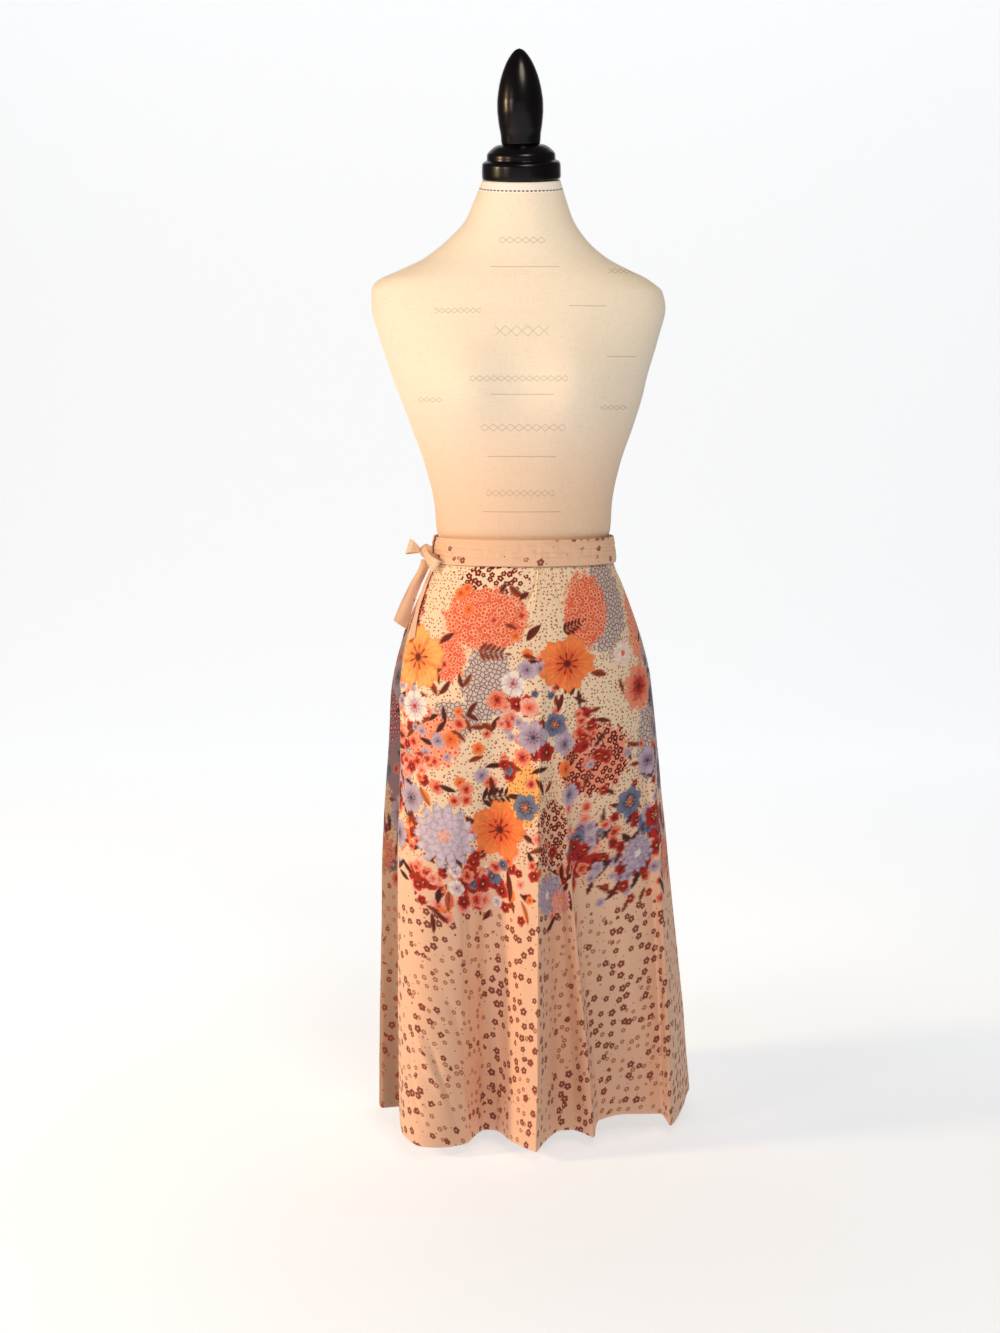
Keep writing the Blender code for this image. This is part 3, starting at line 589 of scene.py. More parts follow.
def leaf(sheet, place, length, width, degrees, bend, ink, rib="umber"):
    """Half width = width / 2 sin(pi s)^0.8 along a midrib that bends as a parabola. One half is in shade."""
    inside, x, y = near(sheet, place, length * 1.1, degrees)
    s = np.clip(x / length, 0, 1)
    offset = y - bend * length * (s * s - s * 0.2)
    half = width / 2 * np.sin(np.pi * s) ** 0.8
    mask = soft_step(-INK_EDGE * 0.8, INK_EDGE * 0.8, half - np.abs(offset)) * (x > 0) * (x < length)
    shade = blend(ink, rib, np.exp(-np.abs(offset) / RIB_WIDTH) * 0.7 + 0.3 * (offset > 0))
    lay(sheet, inside, mask, shade)


def frond(sheet, place, length, degrees, ink, pairs=5):
    """Pairs of leaves along a stem, shorter towards its tip."""
    turn = math.radians(degrees)
    for k in range(pairs + 1):
        share = (k + 0.6) / (pairs + 1)
        travel = length / CM * share
        foot = (place[0] + travel * math.cos(turn), place[1] - travel * math.sin(turn))
        size = length * 0.42 * (1 - 0.45 * share)
        for side in ((-1, 1) if k < pairs else (0,)):
            leaf(sheet, foot, size, size * 0.36, degrees + side * 48, 0.12 * side, ink)
    leaf(sheet, place, length, STEM_WIDTH, degrees, 0.0, ink)


def patch(sheet, place, wide, tall, seed):
    """A patch with an uneven edge: 1 inside it, 0 outside."""
    inside, x, y = near(sheet, place, max(wide, tall) * 1.4 * CM)
    r = np.hypot(x / (wide * CM), y / (tall * CM))
    waver = 0.16 * ripple(x * 60, y * 60, seed) + 0.10 * ripple(x * 210, y * 210, seed + 1)
    return inside, soft_step(-0.05, 0.05, 1 + waver - r)


# %% [markdown]
# ## One sheet of the print
# The tables place each patch, bloom and cluster in centimetres to the right of the centre-front
# seam and below the waist. Sprays fill what is left between them with small flowers and leaves. From the
# waist to the knees the print is full, and below that only scattered ring flowers are left.

# %% Tables for the print
PRINT_ENDS = (0.42, 0.475)  # metres below the waist, where the full print gives way to scattered flowers
FIELD = {"coral": 0, "maroon": 1, "dots": 2, "mesh": 3}
PATCHES = (  # across, down, half width, half height, small pattern, ground
    (-13.8, 1.8, 4.0, 3.0, "dots", "cream"), (1.4, 4.0, 3.6, 4.4, "dots", "cream"),
    (-6.8, 2.0, 4.6, 2.3, "maroon", "cream"), (9.2, 5.6, 3.6, 6.2, "mesh", "ash"),
    (-7.4, 7.0, 5.6, 4.0, "coral", "coral"), (6.0, 5.9, 3.1, 4.9, "coral", "coral"),
    (-12.3, 12.2, 2.4, 2.9, "coral", "coral"), (-6.9, 15.3, 3.2, 4.8, "mesh", "ash"),
    (-11.2, 20.4, 3.8, 2.6, "mesh", "ash"), (10.6, 18.6, 3.9, 3.3, "dots", "cream"),
    (-14.6, 23.0, 4.5, 3.6, "coral", "salmon"), (8.6, 25.4, 5.2, 4.6, "maroon", "salmon"),
    (-7.4, 25.6, 3.4, 4.4, "dots", "cream"), (-11.0, 29.6, 4.5, 3.2, "dots", "cream"),
    (-2.2, 29.0, 2.4, 4.5, "dots", "amber"), (16.4, 8.5, 3.0, 5.0, "coral", "salmon"),
    (21.0, 14.0, 4.5, 6.5, "mesh", "ash"), (26.0, 6.0, 4.5, 5.0, "dots", "cream"),
    (24.5, 22.0, 4.2, 5.0, "maroon", "mauve"), (18.6, 23.5, 3.4, 5.6, "mesh", "ash"),
    (30.0, 15.0, 4.0, 5.0, "coral", "coral"), (11.0, 37.5, 5.0, 4.4, "dots", "peach"),
    (28.5, 28.0, 4.2, 5.0, "mesh", "mauve"), (-19.8, 5.5, 3.0, 4.2, "maroon", "salmon"),
    (2.6, 35.0, 3.0, 4.6, "maroon", "peach"), (-20.6, 27.0, 3.4, 5.0, "mesh", "ash"),
    (34.5, 8.0, 3.6, 5.0, "mesh", "ash"),
)
BLOOM_INKS = {  # heart, tip, line, eye
    "amber": ("orange", "amber", "flame", "brown"), "flame": ("flame", "orange", "flame", "maroon"),
    "coral": ("red", "salmon", "coral", "maroon"), "lavender": ("mauve", "lavender", "steel", "slate"),
    "white": ("lavender", "white", "mauve", "red"), "blue": ("slate", "steel", "slate", "orange"),
    "red": ("maroon", "red", "maroon", "amber"), "pink": ("coral", "pink", "coral", "red"),
}
BLOOMS = (  # across, down, radius, petals, inks, turn
    (-17.0, 12.6, 4.2, 5, "amber", 20), (3.4, 12.6, 3.7, 5, "flame", 70), (-5.6, 34.4, 3.8, 5, "flame", 10),
    (15.0, 16.6, 3.1, 9, "coral", 0), (-17.0, 19.0, 2.2, 8, "white", 30),
    (-17.6, 31.0, 2.0, 6, "lavender", 0), (-3.6, 15.4, 1.7, 5, "white", 10),
    (-5.6, 17.6, 1.4, 5, "coral", 50), (-1.4, 18.2, 1.3, 5, "pink", 0), (-1.8, 13.4, 1.3, 5, "lavender", 30),
    (-0.9, 22.0, 2.2, 6, "lavender", 15), (2.2, 20.4, 1.6, 5, "blue", 40), (1.1, 23.9, 1.3, 5, "red", 12),
    (3.8, 23.0, 1.5, 5, "lavender", 60), (-2.3, 24.6, 1.2, 5, "coral", 5), (4.4, 26.2, 1.1, 5, "flame", 0),
    (-1.8, 31.0, 1.8, 6, "blue", 0), (14.9, 31.4, 2.0, 6, "blue", 25), (5.6, 29.6, 1.5, 5, "lavender", 0),
    (20.6, 19.0, 2.2, 6, "blue", 10), (25.6, 16.0, 2.4, 8, "lavender", 0),
    (17.4, 26.5, 1.9, 6, "lavender", 44), (22.5, 29.0, 2.4, 7, "blue", 0),
    (28.4, 34.0, 2.6, 8, "lavender", 20), (21.5, 8.0, 2.3, 5, "coral", 33), (29.0, 22.0, 2.0, 5, "red", 0),
    (32.2, 26.0, 2.5, 5, "flame", 0), (19.8, 33.8, 1.7, 5, "red", 14), (-20.5, 36.0, 2.0, 6, "lavender", 0),
    (-21.6, 21.0, 1.8, 5, "blue", 0),
)
LAYERED = (  # across, down, radius, inks from petal to eye, turn
    (-13.0, 35.2, 4.2, ("lavender", "lilac", "steel", "pink"), 0),
    (2.7, 42.4, 2.8, ("steel", "lavender", "slate", "white"), 20),
    (17.6, 38.4, 2.6, ("mauve", "lavender", "slate", "white"), 0),
    (5.5, 43.4, 1.7, ("coral", "pink", "red", "amber"), 10),
    (24.8, 40.0, 2.9, ("coral", "salmon", "maroon", "amber"), 0),
    (11.8, 11.9, 1.9, ("pink", "white", "coral", "coral"), 0),
)
CLUSTERS = (  # across, down, half width, half height, flowers, radius, inks
    (9.2, 36.6, 3.4, 4.0, 26, 0.95, ("red", "coral", "blue", "red", "lavender")),
    (-8.8, 41.4, 4.4, 3.4, 30, 1.0, ("red", "pink", "blue", "coral", "red", "white")),
    (-16.4, 41.0, 2.4, 2.4, 10, 0.9, ("red", "pink", "coral")),
    (6.6, 21.2, 1.6, 3.6, 12, 0.75, ("red", "coral", "red")),
    (-16.8, 25.8, 2.4, 3.0, 10, 0.9, ("coral", "red", "pink")),
    (-2.8, 19.8, 3.0, 2.0, 8, 0.85, ("pink", "lavender", "coral")),
    (20.8, 37.2, 3.6, 5.0, 26, 1.0, ("red", "blue", "red", "lavender")),
    (29.8, 39.6, 3.6, 4.6, 24, 1.0, ("red", "blue", "coral")),
    (-19.2, 16.4, 2.0, 2.0, 6, 0.9, ("lavender", "pink")),
)
SPRAYS = (  # across, down, half width, half height, leaves or flowers, their size, their inks
    (-12.5, 28.0, 8.5, 10.5, 96, 0.90, ("coral", "red", "coral", "lavender", "flame")),
    (0.0, 20.0, 5.0, 8.0, 44, 0.85, ("red", "lavender", "coral", "blue", "pink")),
    (12.0, 29.0, 7.0, 12.0, 66, 0.80, ("red", "lavender", "coral", "pink", "red")),
    (-6.0, 40.0, 12.0, 6.0, 84, 0.90, ("red", "coral", "red", "pink", "flame")),
    (14.0, 39.0, 10.0, 6.0, 60, 0.85, ("red", "coral", "red", "lavender")),
    (-8.0, 8.0, 7.0, 6.0, 14, 0.80, ("coral", "flame")),
    (24.0, 25.0, 7.0, 16.0, 80, 0.85, ("lavender", "red", "blue", "coral", "blue")),
    (-21.0, 25.0, 5.0, 16.0, 50, 0.85, ("red", "lavender", "blue", "coral")),
    (33.0, 22.0, 5.0, 15.0, 40, 0.85, ("coral", "red", "blue", "lavender")),
)
LEAVES = (  # across, down, length, width, turn, bend, ink
    (-4.6, 2.4, 2.6, 0.95, -52, 0.25, "rust"), (-3.0, 4.4, 1.5, 0.8, 55, -0.2, "brown"),
    (-1.9, 9.8, 2.9, 1.0, 62, -0.22, "brown"), (-11.4, 9.0, 2.6, 0.8, 205, 0.18, "brown"),
    (-13.6, 17.2, 2.3, 0.9, 115, 0.2, "rust"), (-13.4, 17.0, 2.5, 0.8, 38, 0.3, "brown"),
    (-10.0, 16.0, 2.0, 0.7, 118, -0.2, "brown"), (-10.2, 15.8, 2.2, 0.7, 42, 0.3, "rust"),
    (-6.4, 21.8, 2.4, 0.8, 70, -0.2, "brown"), (-6.2, 21.6, 1.8, 0.8, 130, 0.2, "rust"),
    (9.0, 14.4, 2.4, 1.0, 160, 0.2, "rust"), (11.0, 13.6, 2.5, 0.9, 60, 0.2, "brown"),
    (4.6, 17.0, 2.0, 0.6, -30, 0.2, "brown"), (3.0, 16.4, 1.9, 0.6, -100, 0.1, "brown"),
    (-17.8, 43.4, 3.6, 0.9, 68, 0.22, "brown"), (2.4, 47.0, 3.0, 0.9, 12, 0.5, "umber"),
    (7.6, 44.6, 2.8, 0.8, 120, -0.3, "brown"), (13.8, 44.0, 3.2, 0.8, 40, 0.45, "brown"),
    (12.0, 41.0, 3.0, 0.8, 70, -0.35, "umber"), (8.8, 47.0, 2.2, 1.2, 78, -0.1, "coral"),
    (-4.6, 43.6, 4.2, 1.0, 82, 0.25, "brown"), (-13.6, 44.8, 2.8, 1.2, 74, 0.1, "coral"),
    (-14.8, 44.0, 2.2, 0.8, 80, -0.1, "umber"), (-14.6, 31.6, 2.8, 1.1, 118, 0.1, "orange"),
    (-2.6, 43.0, 3.2, 0.7, -62, -0.2, "orange"), (17.4, 43.0, 3.4, 0.9, 62, 0.3, "umber"),
    (24.0, 44.6, 3.2, 0.9, 120, 0.3, "brown"), (19.2, 12.0, 2.8, 1.0, 70, 0.2, "brown"),
    (-8.6, 33.8, 2.0, 0.9, 140, 0.0, "brown"), (14.4, 35.4, 2.4, 0.9, -40, 0.2, "umber"),
    (11.4, 34.0, 2.4, 0.5, 96, 0.1, "umber"), (22.8, 24.6, 2.6, 0.9, 60, 0.2, "umber"),
    (27.4, 12.0, 2.6, 1.0, 130, 0.2, "rust"), (31.0, 30.6, 3.0, 1.0, 50, 0.2, "umber"),
    (-20.4, 10.4, 2.4, 0.9, 80, 0.2, "rust"), (26.0, 36.8, 2.6, 0.9, 95, 0.2, "umber"),
)
FRONDS = (  # across, down, length, turn, ink
    (-8.4, 11.0, 4.0, -8, "rust"), (2.6, 8.6, 3.2, 26, "brown"), (-8.2, 30.6, 4.4, 12, "umber"),
    (17.8, 20.0, 3.4, 70, "brown"), (23.4, 11.0, 3.6, 110, "brown"), (-18.6, 33.6, 3.0, 60, "brown"),
)


# %% Print a sheet
def small_print(u, v):
    """Weights of the dark and the small ring flowers and of tiny dots: drifts that slant across the cloth."""
    drift = ripple(u * 5.2 + v * 2.6, v * 4.4 - u * 1.2, 41)
    low = soft_step(*PRINT_ENDS, v)
    dark = low * np.clip(0.56 + 1.15 * drift, 0.12, 0.92)
    faint = low * np.clip(0.46 - 1.25 * drift, 0.08, 0.9)
    return np.stack([dark, faint, 0.30 * low + 0.5 * soft_step(0.25, 0.4, v) * (1 - low)], axis=-1)


def printed(u, v):
    """Paints the whole design on a stretch of cloth and gives its layers."""
    sheet = blank_sheet(u, v)
    ground = soft_step(0.20, 0.50, v)[..., None]
    sheet["rgb"][:] = INKS["cream"] * (1 - ground) + INKS["peach"] * ground
    sheet["scatter"][:] = small_print(u, v)
    sheet["fields"][..., FIELD["dots"]] = soft_step(0.42, 0.36, v) * 0.75
    for k, (across, down, wide, tall, pattern, ground_ink) in enumerate(PATCHES):
        inside, mask = patch(sheet, (across, down), wide, tall, 200 + 3 * k)
        sheet["rgb"][inside] += (INKS[ground_ink] - sheet["rgb"][inside]) * mask[:, None]
        sheet["fields"][inside] *= (1 - mask)[:, None]
        sheet["fields"][(*inside, np.full(mask.shape, FIELD[pattern]))] += mask
    chance = random.Random(7)
    for across, down, wide, tall, count, size, inks in SPRAYS:
        for k in range(count):
            place = (across + wide * chance.uniform(-1, 1), down + tall * chance.uniform(-1, 1))
            if k % 3 == 0:
                length, turn, bend = chance.uniform(2.0, 3.2), chance.uniform(0, 360), chance.uniform(-0.3, 0.3)
                ink = chance.choice(("brown", "rust", "umber", "rust"))
                leaf(sheet, place, size * length * CM, size * 0.8 * CM, turn, bend, ink)
            else:
                radius, name = size * chance.uniform(0.6, 1.2), inks[k % len(inks)]
                blossom(sheet, place, radius * CM, 5, BLOOM_INKS[name], chance.uniform(0, 72))
    for across, down, length, turn, ink in FRONDS:
        frond(sheet, (across, down), length * CM, turn, ink)
    for across, down, length, width, turn, bend, ink in LEAVES:
        leaf(sheet, (across, down), length * CM, width * CM, turn, bend, ink)
    for across, down, wide, tall, flowers, radius, inks in CLUSTERS:
        for k in range(flowers):
            place = (across + wide * chance.uniform(-1, 1) * 0.8, down + tall * chance.uniform(-1, 1) * 0.8)
            name = inks[k % len(inks)]
            size = radius * chance.uniform(0.7, 1.2) * CM
            blossom(sheet, place, size, 5, BLOOM_INKS[name], chance.uniform(0, 72))
    for across, down, radius, petals, inks, turn in BLOOMS:
        blossom(sheet, (across, down), radius * CM, petals, BLOOM_INKS[inks], turn)
    for across, down, radius, inks, turn in LAYERED:
        layered_bloom(sheet, (across, down), radius * CM, inks, turn)
    cover = sheet["cover"][..., None]
    rgb = linear(*np.moveaxis(sheet["rgb"], -1, 0)).transpose(1, 2, 0)
    return {
        "print_colour": np.concatenate([rgb, cover], axis=-1), "print_fields": sheet["fields"],
        "print_scatter": sheet["scatter"] * (1 - cover)}


# %% [markdown]
# ## Small patterns of the print
# Rings and dots are far finer than the grid, so the shader draws them. A Voronoi texture drops one point
# in each cell of the cloth, and `ring_flowers` draws a five-lobed ring round that point. Each flower has
# its own turn and size, and it only grows where the density is above its own random number, so a drift of
# flowers thins out instead of being cut.

# %% Ring flowers and dots
ring_group, make, entry, result = new_group(
    "ring_flowers",
    (("Cloth", "NodeSocketVector", None), ("Pitch", "NodeSocketFloat", 0.018),
     ("Radius", "NodeSocketFloat", 0.0042), ("Density", "NodeSocketFloat", 1.0),
     ("Hole", "NodeSocketFloat", 0.3), ("Disorder", "NodeSocketFloat", 0.7)),
    (("Petals", "NodeSocketFloat"), ("Eye", "NodeSocketFloat")),
)
maths, mix, edge = sums(make)
cells = make(
    "ShaderNodeTexVoronoi",
    {"Vector": entry.outputs["Cloth"], "Scale": maths("DIVIDE", 1.0, entry.outputs["Pitch"]),
     "Randomness": entry.outputs["Disorder"]},
    voronoi_dimensions="2D",
)
ends = {0: entry.outputs["Cloth"], 1: cells.outputs["Position"]}
offset = make("ShaderNodeVectorMath", ends, operation="SUBTRACT").outputs[0]
parts = make("ShaderNodeSeparateXYZ", {0: offset}).outputs
chances = make("ShaderNodeSeparateColor", {0: cells.outputs["Color"]}).outputs
squares = [maths("MULTIPLY", parts[k], parts[k]) for k in (0, 1)]
distance = maths("SQRT", maths("ADD", *squares))
angle = maths("ADD", maths("ARCTAN2", parts[1], parts[0]), maths("MULTIPLY", chances[0], 2 * math.pi))
lobes = maths("ADD", 1.0, maths("MULTIPLY", maths("COSINE", maths("MULTIPLY", angle, 5.0)), 0.13))
grown = edge(maths("SUBTRACT", entry.outputs["Density"], chances[1]), 0.0, 0.10)
luck = maths("ADD", 0.8, maths("MULTIPLY", chances[2], 0.35))
size = maths("MULTIPLY", maths("MULTIPLY", entry.outputs["Radius"], grown), luck)
rim = maths("SUBTRACT", maths("MULTIPLY", size, lobes), distance)
eye = edge(maths("SUBTRACT", maths("MULTIPLY", size, entry.outputs["Hole"]), distance), -0.0002, 0.0002)
petals = maths("MULTIPLY", edge(rim, -0.0003, 0.0003), maths("SUBTRACT", 1.0, eye))
ring_group.links.new(petals, result.inputs["Petals"])
ring_group.links.new(maths("MULTIPLY", eye, grown), result.inputs["Eye"])

mesh_group, make, entry, result = new_group(
    "fine_mesh",
    (("Cloth", "NodeSocketVector", None), ("Pitch", "NodeSocketFloat", 0.003),
     ("Line", "NodeSocketFloat", 0.12)),
    (("Lines", "NodeSocketFloat"),),
)
maths, mix, edge = sums(make)
cells = make(
    "ShaderNodeTexVoronoi",
    {"Vector": entry.outputs["Cloth"], "Scale": maths("DIVIDE", 1.0, entry.outputs["Pitch"]), "Randomness": 0.9},
    voronoi_dimensions="2D", feature="DISTANCE_TO_EDGE",
)
fades, full = (maths("MULTIPLY", entry.outputs["Line"], share) for share in (1.5, 0.6))
mesh_group.links.new(edge(cells.outputs["Distance"], fades, full), result.inputs["Lines"])
print("ring group nodes", len(ring_group.nodes), "mesh group nodes", len(mesh_group.nodes))

# %% [markdown]
# ## The printed cloth
# One recipe makes the skirt's cloth and the sash's. The painted colour comes first, then each small
# pattern where its weight is high and no motif covers it, then the weave. The wrong side is the same
# print seen through the cloth, so it is paler.


# %% Print cloth
def printed_finish(name):
    material, shader, make = new_finish(name, roughness=0.78, Sheen_Weight=0.05, Specular_IOR_Level=0.25)
    maths, mix, edge = sums(make)
    cloth = make("ShaderNodeUVMap", uv_map="cloth").outputs[0]
    turned_cloth = {"Vector": cloth, "Angle": math.radians(31)}
    aslant = make("ShaderNodeVectorRotate", turned_cloth, rotation_type="Z_AXIS").outputs[0]

    def layer(label, kind="Color"):
        return make("ShaderNodeAttribute", attribute_name=label).outputs[kind]

    def rings(pitch, radius, density, hole, disorder, threads=cloth):
        return make(
            "ShaderNodeGroup", {"Pitch": pitch, "Radius": radius, "Density": density, "Hole": hole,
                                "Disorder": disorder, "Cloth": threads}, node_tree=ring_group).outputs

    fields = make("ShaderNodeSeparateColor", {0: layer("print_fields")}).outputs
    mesh_weight = layer("print_fields", "Alpha")
    scatter = make("ShaderNodeSeparateXYZ", {0: layer("print_scatter", "Vector")}).outputs
    bare = maths("SUBTRACT", 1.0, layer("print_colour", "Alpha"))
    colour = layer("print_colour")

    def over(ink, mask, weight):
        share = maths("MULTIPLY", maths("MULTIPLY", mask, edge(weight, 0.3, 0.7)), bare)
        return mix(share, colour, linear(*INKS[ink]))

    packed = rings(0.0074, 0.0031, 1.1, 0.66, 0.6, aslant)
    colour = over("salmon_light", packed["Petals"], fields[0])
    colour = over("flame", packed["Eye"], fields[0])
    packed = rings(0.0092, 0.0040, 1.1, 0.34, 0.55, aslant)
    colour = over("maroon", packed["Petals"], fields[1])
    colour = over("salmon", packed["Eye"], fields[1])
    dots = rings(0.0048, 0.0011, 0.8, 0.0, 0.9)
    colour = over("rust", dots["Petals"], fields[2])
    mesh = make("ShaderNodeGroup", {"Cloth": aslant, "Pitch": 0.0056, "Line": 0.10}, node_tree=mesh_group).outputs[0]
    colour = over("dusk", mesh, mesh_weight)
    for density, ink, pitch, radius, hole, strength in (
            (scatter[0], "brown_red", 0.0152, 0.0044, 0.22, 0.9),
            (scatter[1], "rust", 0.0135, 0.0030, 0.32, 0.75),
            (scatter[2], "brown", 0.0110, 0.0009, 0.0, 0.75)):
        flowers = rings(pitch, radius, density, hole, 0.75)
        colour = mix(maths("MULTIPLY", flowers["Petals"], strength), colour, linear(*INKS[ink]))
    colour = mix(maths("MULTIPLY", layer("wrong_side", "Fac"), 0.55), colour, linear(*INKS["cream"]))
    weave = make("ShaderNodeGroup", {"Threads": cloth, "Pitch": 0.0007, "Unevenness": 0.3}, node_tree=weave_group)
    colour = mix(maths("MULTIPLY", weave.outputs["Slub"], 0.10), colour, (1.0, 1.0, 1.0), "SOFT_LIGHT")
    shader.id_data.links.new(colour, shader.inputs["Base Color"])
    bump = make("ShaderNodeBump", {"Strength": 0.25, "Distance": 0.0002, "Height": weave.outputs["Height"]})
    shader.id_data.links.new(bump.outputs[0], shader.inputs["Normal"])
    return material


print_cloth, sash_cloth = printed_finish("print_cloth"), printed_finish("sash_cloth")


def sash_print(u, v):
    """The sash is the print's plain end: cream with a few small dark flowers."""
    rgb = np.broadcast_to(linear(*(INKS["cream"] * 0.2 + INKS["peach"] * 0.77)), (*u.shape, 3))
    zero = np.zeros(u.shape)
    return {
        "print_colour": np.concatenate([rgb, zero[..., None]], axis=-1), "print_fields": np.zeros((*u.shape, 4)),
        "print_scatter": np.stack([zero + 0.20, zero + 0.16, zero + 0.20], axis=-1)}

# %% [markdown]
# ## The skirt's panels
# Five panels are cut and sewn: two in front that meet at the pressed ridge, two behind, and the under-lap
# that ends behind the front. All of them are one surface, so each panel is a stretch of `wrap_points`
# with the creases pushed out along the cloth's own normal.

# %% Cut the panels
PANEL_FINE = {"top": 351, "bottom": 99, "across": 192}
PANEL_PLAIN = {"top": 261, "bottom": 69, "across": 144}
PRINT_REACH = 0.62  # the share of the length that the full print and its fine rows take up
SEAM_GAP, BAND_GAP = 0.0002, 0.0004
PANELS = (  # node, first row, last row, grid, side the print is measured from, where that side lies on it
    ("front_left_panel", 0, SEAM_RIDGE, PANEL_FINE, 1.0, 0.0),
    ("front_right_panel", SEAM_RIDGE, RIGHT_SIDE, PANEL_FINE, 0.0, 0.0),
    ("back_right_panel", RIGHT_SIDE, CENTRE_BACK, PANEL_PLAIN, 0.0, 0.33),
    ("back_left_panel", CENTRE_BACK, LEFT_SIDE, PANEL_PLAIN, 1.0, 0.20),
    ("under_lap_panel", LEFT_SIDE, INNER_EDGE, PANEL_PLAIN, 0.0, 0.20),
)


def panel_surface(first, last, grain):
    """The panel's middle surface: from row to row along the hem, and down in fine steps through the print."""
    stops = np.interp((first, last), np.arange(len(ROW_AT)), ROW_AT)
    across = np.linspace(stops[0] + SEAM_GAP, stops[1] - SEAM_GAP, grain["across"] + 1)
    top = np.linspace(0.0, PRINT_REACH, grain["top"], endpoint=False)
    down = np.concatenate([top, np.linspace(PRINT_REACH, 1.0, grain["bottom"] + 1)])
    along, share = np.meshgrid(across, down)
    smooth = wrap_points(along, share)
    smooth[0, :, 2] -= BAND_GAP
    return smooth + grid_normals(smooth) * crease_height(along, share)[..., None]


for name, first, last, grain, anchor, print_from in PANELS:
    middle = panel_surface(first, last, grain)
    u = arc_lengths(middle, 1)
    u = u - anchor * u[:, -1:]
    v = arc_lengths(middle, 0)
    piece = cloth_shell(name.replace("_panel", "_cloth"), middle, CLOTH_WALL, print_cloth, (u, v))
    layers = printed(u + print_from, v)
    if name == "under_lap_panel":  # the front panel's edge shades the strip beside it
        shade = 1 - 0.55 * soft_step(0.012, 0.045, u) * soft_step(0.17, 0.12, u)
        layers["print_colour"][..., :3] *= shade[..., None]
    paint(piece, layers, u.shape)
    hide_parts(name)
    cut = (float(np.ptp(u[-1])), float(v.max()))
    area = float((arc_lengths(middle, 1)[:, -1][1:] * np.diff(v.mean(1))).sum())
    print(name, "cut", [round(c, 3) for c in cut], "area", round(area, 3), "faces", len(piece.data.polygons))

# %% [markdown]
# ## The dress form
# A dress form is a padded shell under stretched linen: rings from the hips to the neck, with only a soft
# general bust. The same rings as the frame's are drawn much more finely here, so that the outline stays
# round.

# %% The linen figure
FIGURE = {
    "z": (
        0.470, 0.500, 0.545, 0.590, 0.640, 0.680, 0.712, 0.740, 0.760, 0.778, 0.795, 0.830, 0.880, 0.930,
        0.965, 1.000, 1.050, 1.085, 1.105, 1.120, 1.133, 1.146, 1.160, 1.175, 1.198, 1.223, 1.249),
    "half_width": (
        0.1600, 0.1655, 0.1675, 0.1640, 0.1520, 0.1380, 0.1270, 0.1165, 0.1120, 0.1110, 0.1150, 0.1177, 0.1288,
        0.1462, 0.1581, 0.1690, 0.1842, 0.1925, 0.1905, 0.1770, 0.1500, 0.1236, 0.1040, 0.0880, 0.0700, 0.0600,
        0.0505),
    "front": (
        0.108, 0.112, 0.113, 0.111, 0.106, 0.101, 0.096, 0.0925, 0.0900, 0.0890, 0.0905, 0.092, 0.097, 0.105,
        0.110, 0.110, 0.101, 0.090, 0.083, 0.077, 0.071, 0.066, 0.062, 0.059, 0.056, 0.053, 0.050),
    "back": (
        0.118, 0.124, 0.126, 0.121, 0.110, 0.100, 0.093, 0.0885, 0.0860, 0.0855, 0.0870, 0.089, 0.095, 0.102,
        0.105, 0.107, 0.105, 0.097, 0.089, 0.081, 0.074, 0.068, 0.063, 0.059, 0.055, 0.053, 0.051),
    "centre_x": (
        0.000, 0.000, 0.000, 0.000, 0.000, 0.001, 0.002, 0.0030, 0.0030, 0.0030, 0.0030, 0.0025, 0.0015, 0.0010,
        0.0000, -0.0025, -0.0032, -0.0038, -0.006, -0.010, -0.009, -0.0077, -0.007, -0.0055, -0.0026, -0.0015,
        0.0),
    "tilt": (0.0,) * 20 + (0.0, 1.0, 2.5, 4.0, 6.0, 8.0, 9.0),
}
BUST = {"x": 0.074, "z": 0.985, "spread_x": 0.050, "spread_z": 0.055, "out": 0.017}
NECK_TILT_DEG, NECK_ROLL_DEG = 9.0, -1.2


def figure_points(degrees, z, out=0.0):
    """The figure's rings, a Gaussian swell on each side of the chest, and rings that lean at the neck."""
    x, y = ring(FIGURE, z, degrees, out)
    for side in (-1, 1):
        near = ((x - side * BUST["x"]) / BUST["spread_x"]) ** 2 + ((z - BUST["z"]) / BUST["spread_z"]) ** 2
        y = y - np.where(y < 0, BUST["out"] * np.exp(-near), 0.0)
    lean = np.radians(through(FIGURE["z"], FIGURE["tilt"], z))
    return np.stack([x, y, z + y * np.tan(lean)], axis=-1)


trim_group, make, entry, result = new_group(
    "lozenge_chain",
    (("Across", "NodeSocketFloat", 0.0), ("Up", "NodeSocketFloat", 0.0),
     ("Half_Length", "NodeSocketFloat", 0.04),
     ("Lozenge", "NodeSocketFloat", 0.008), ("Height", "NodeSocketFloat", 0.003)),
    (("Ink", "NodeSocketFloat"),),
)
maths, mix, edge = sums(make)
across, up = (maths("ABSOLUTE", entry.outputs[name]) for name in ("Across", "Up"))
cycle = maths("PINGPONG", maths("DIVIDE", across, entry.outputs["Lozenge"]), 0.5)
zigzag = maths("MULTIPLY", cycle, entry.outputs["Height"])
line = edge(maths("ABSOLUTE", maths("SUBTRACT", up, maths("MULTIPLY", zigzag, 2.0))), 0.0009, 0.0003)
trim_group.links.new(
    maths("MULTIPLY", line, maths("LESS_THAN", across, entry.outputs["Half_Length"])), result.inputs["Ink"])

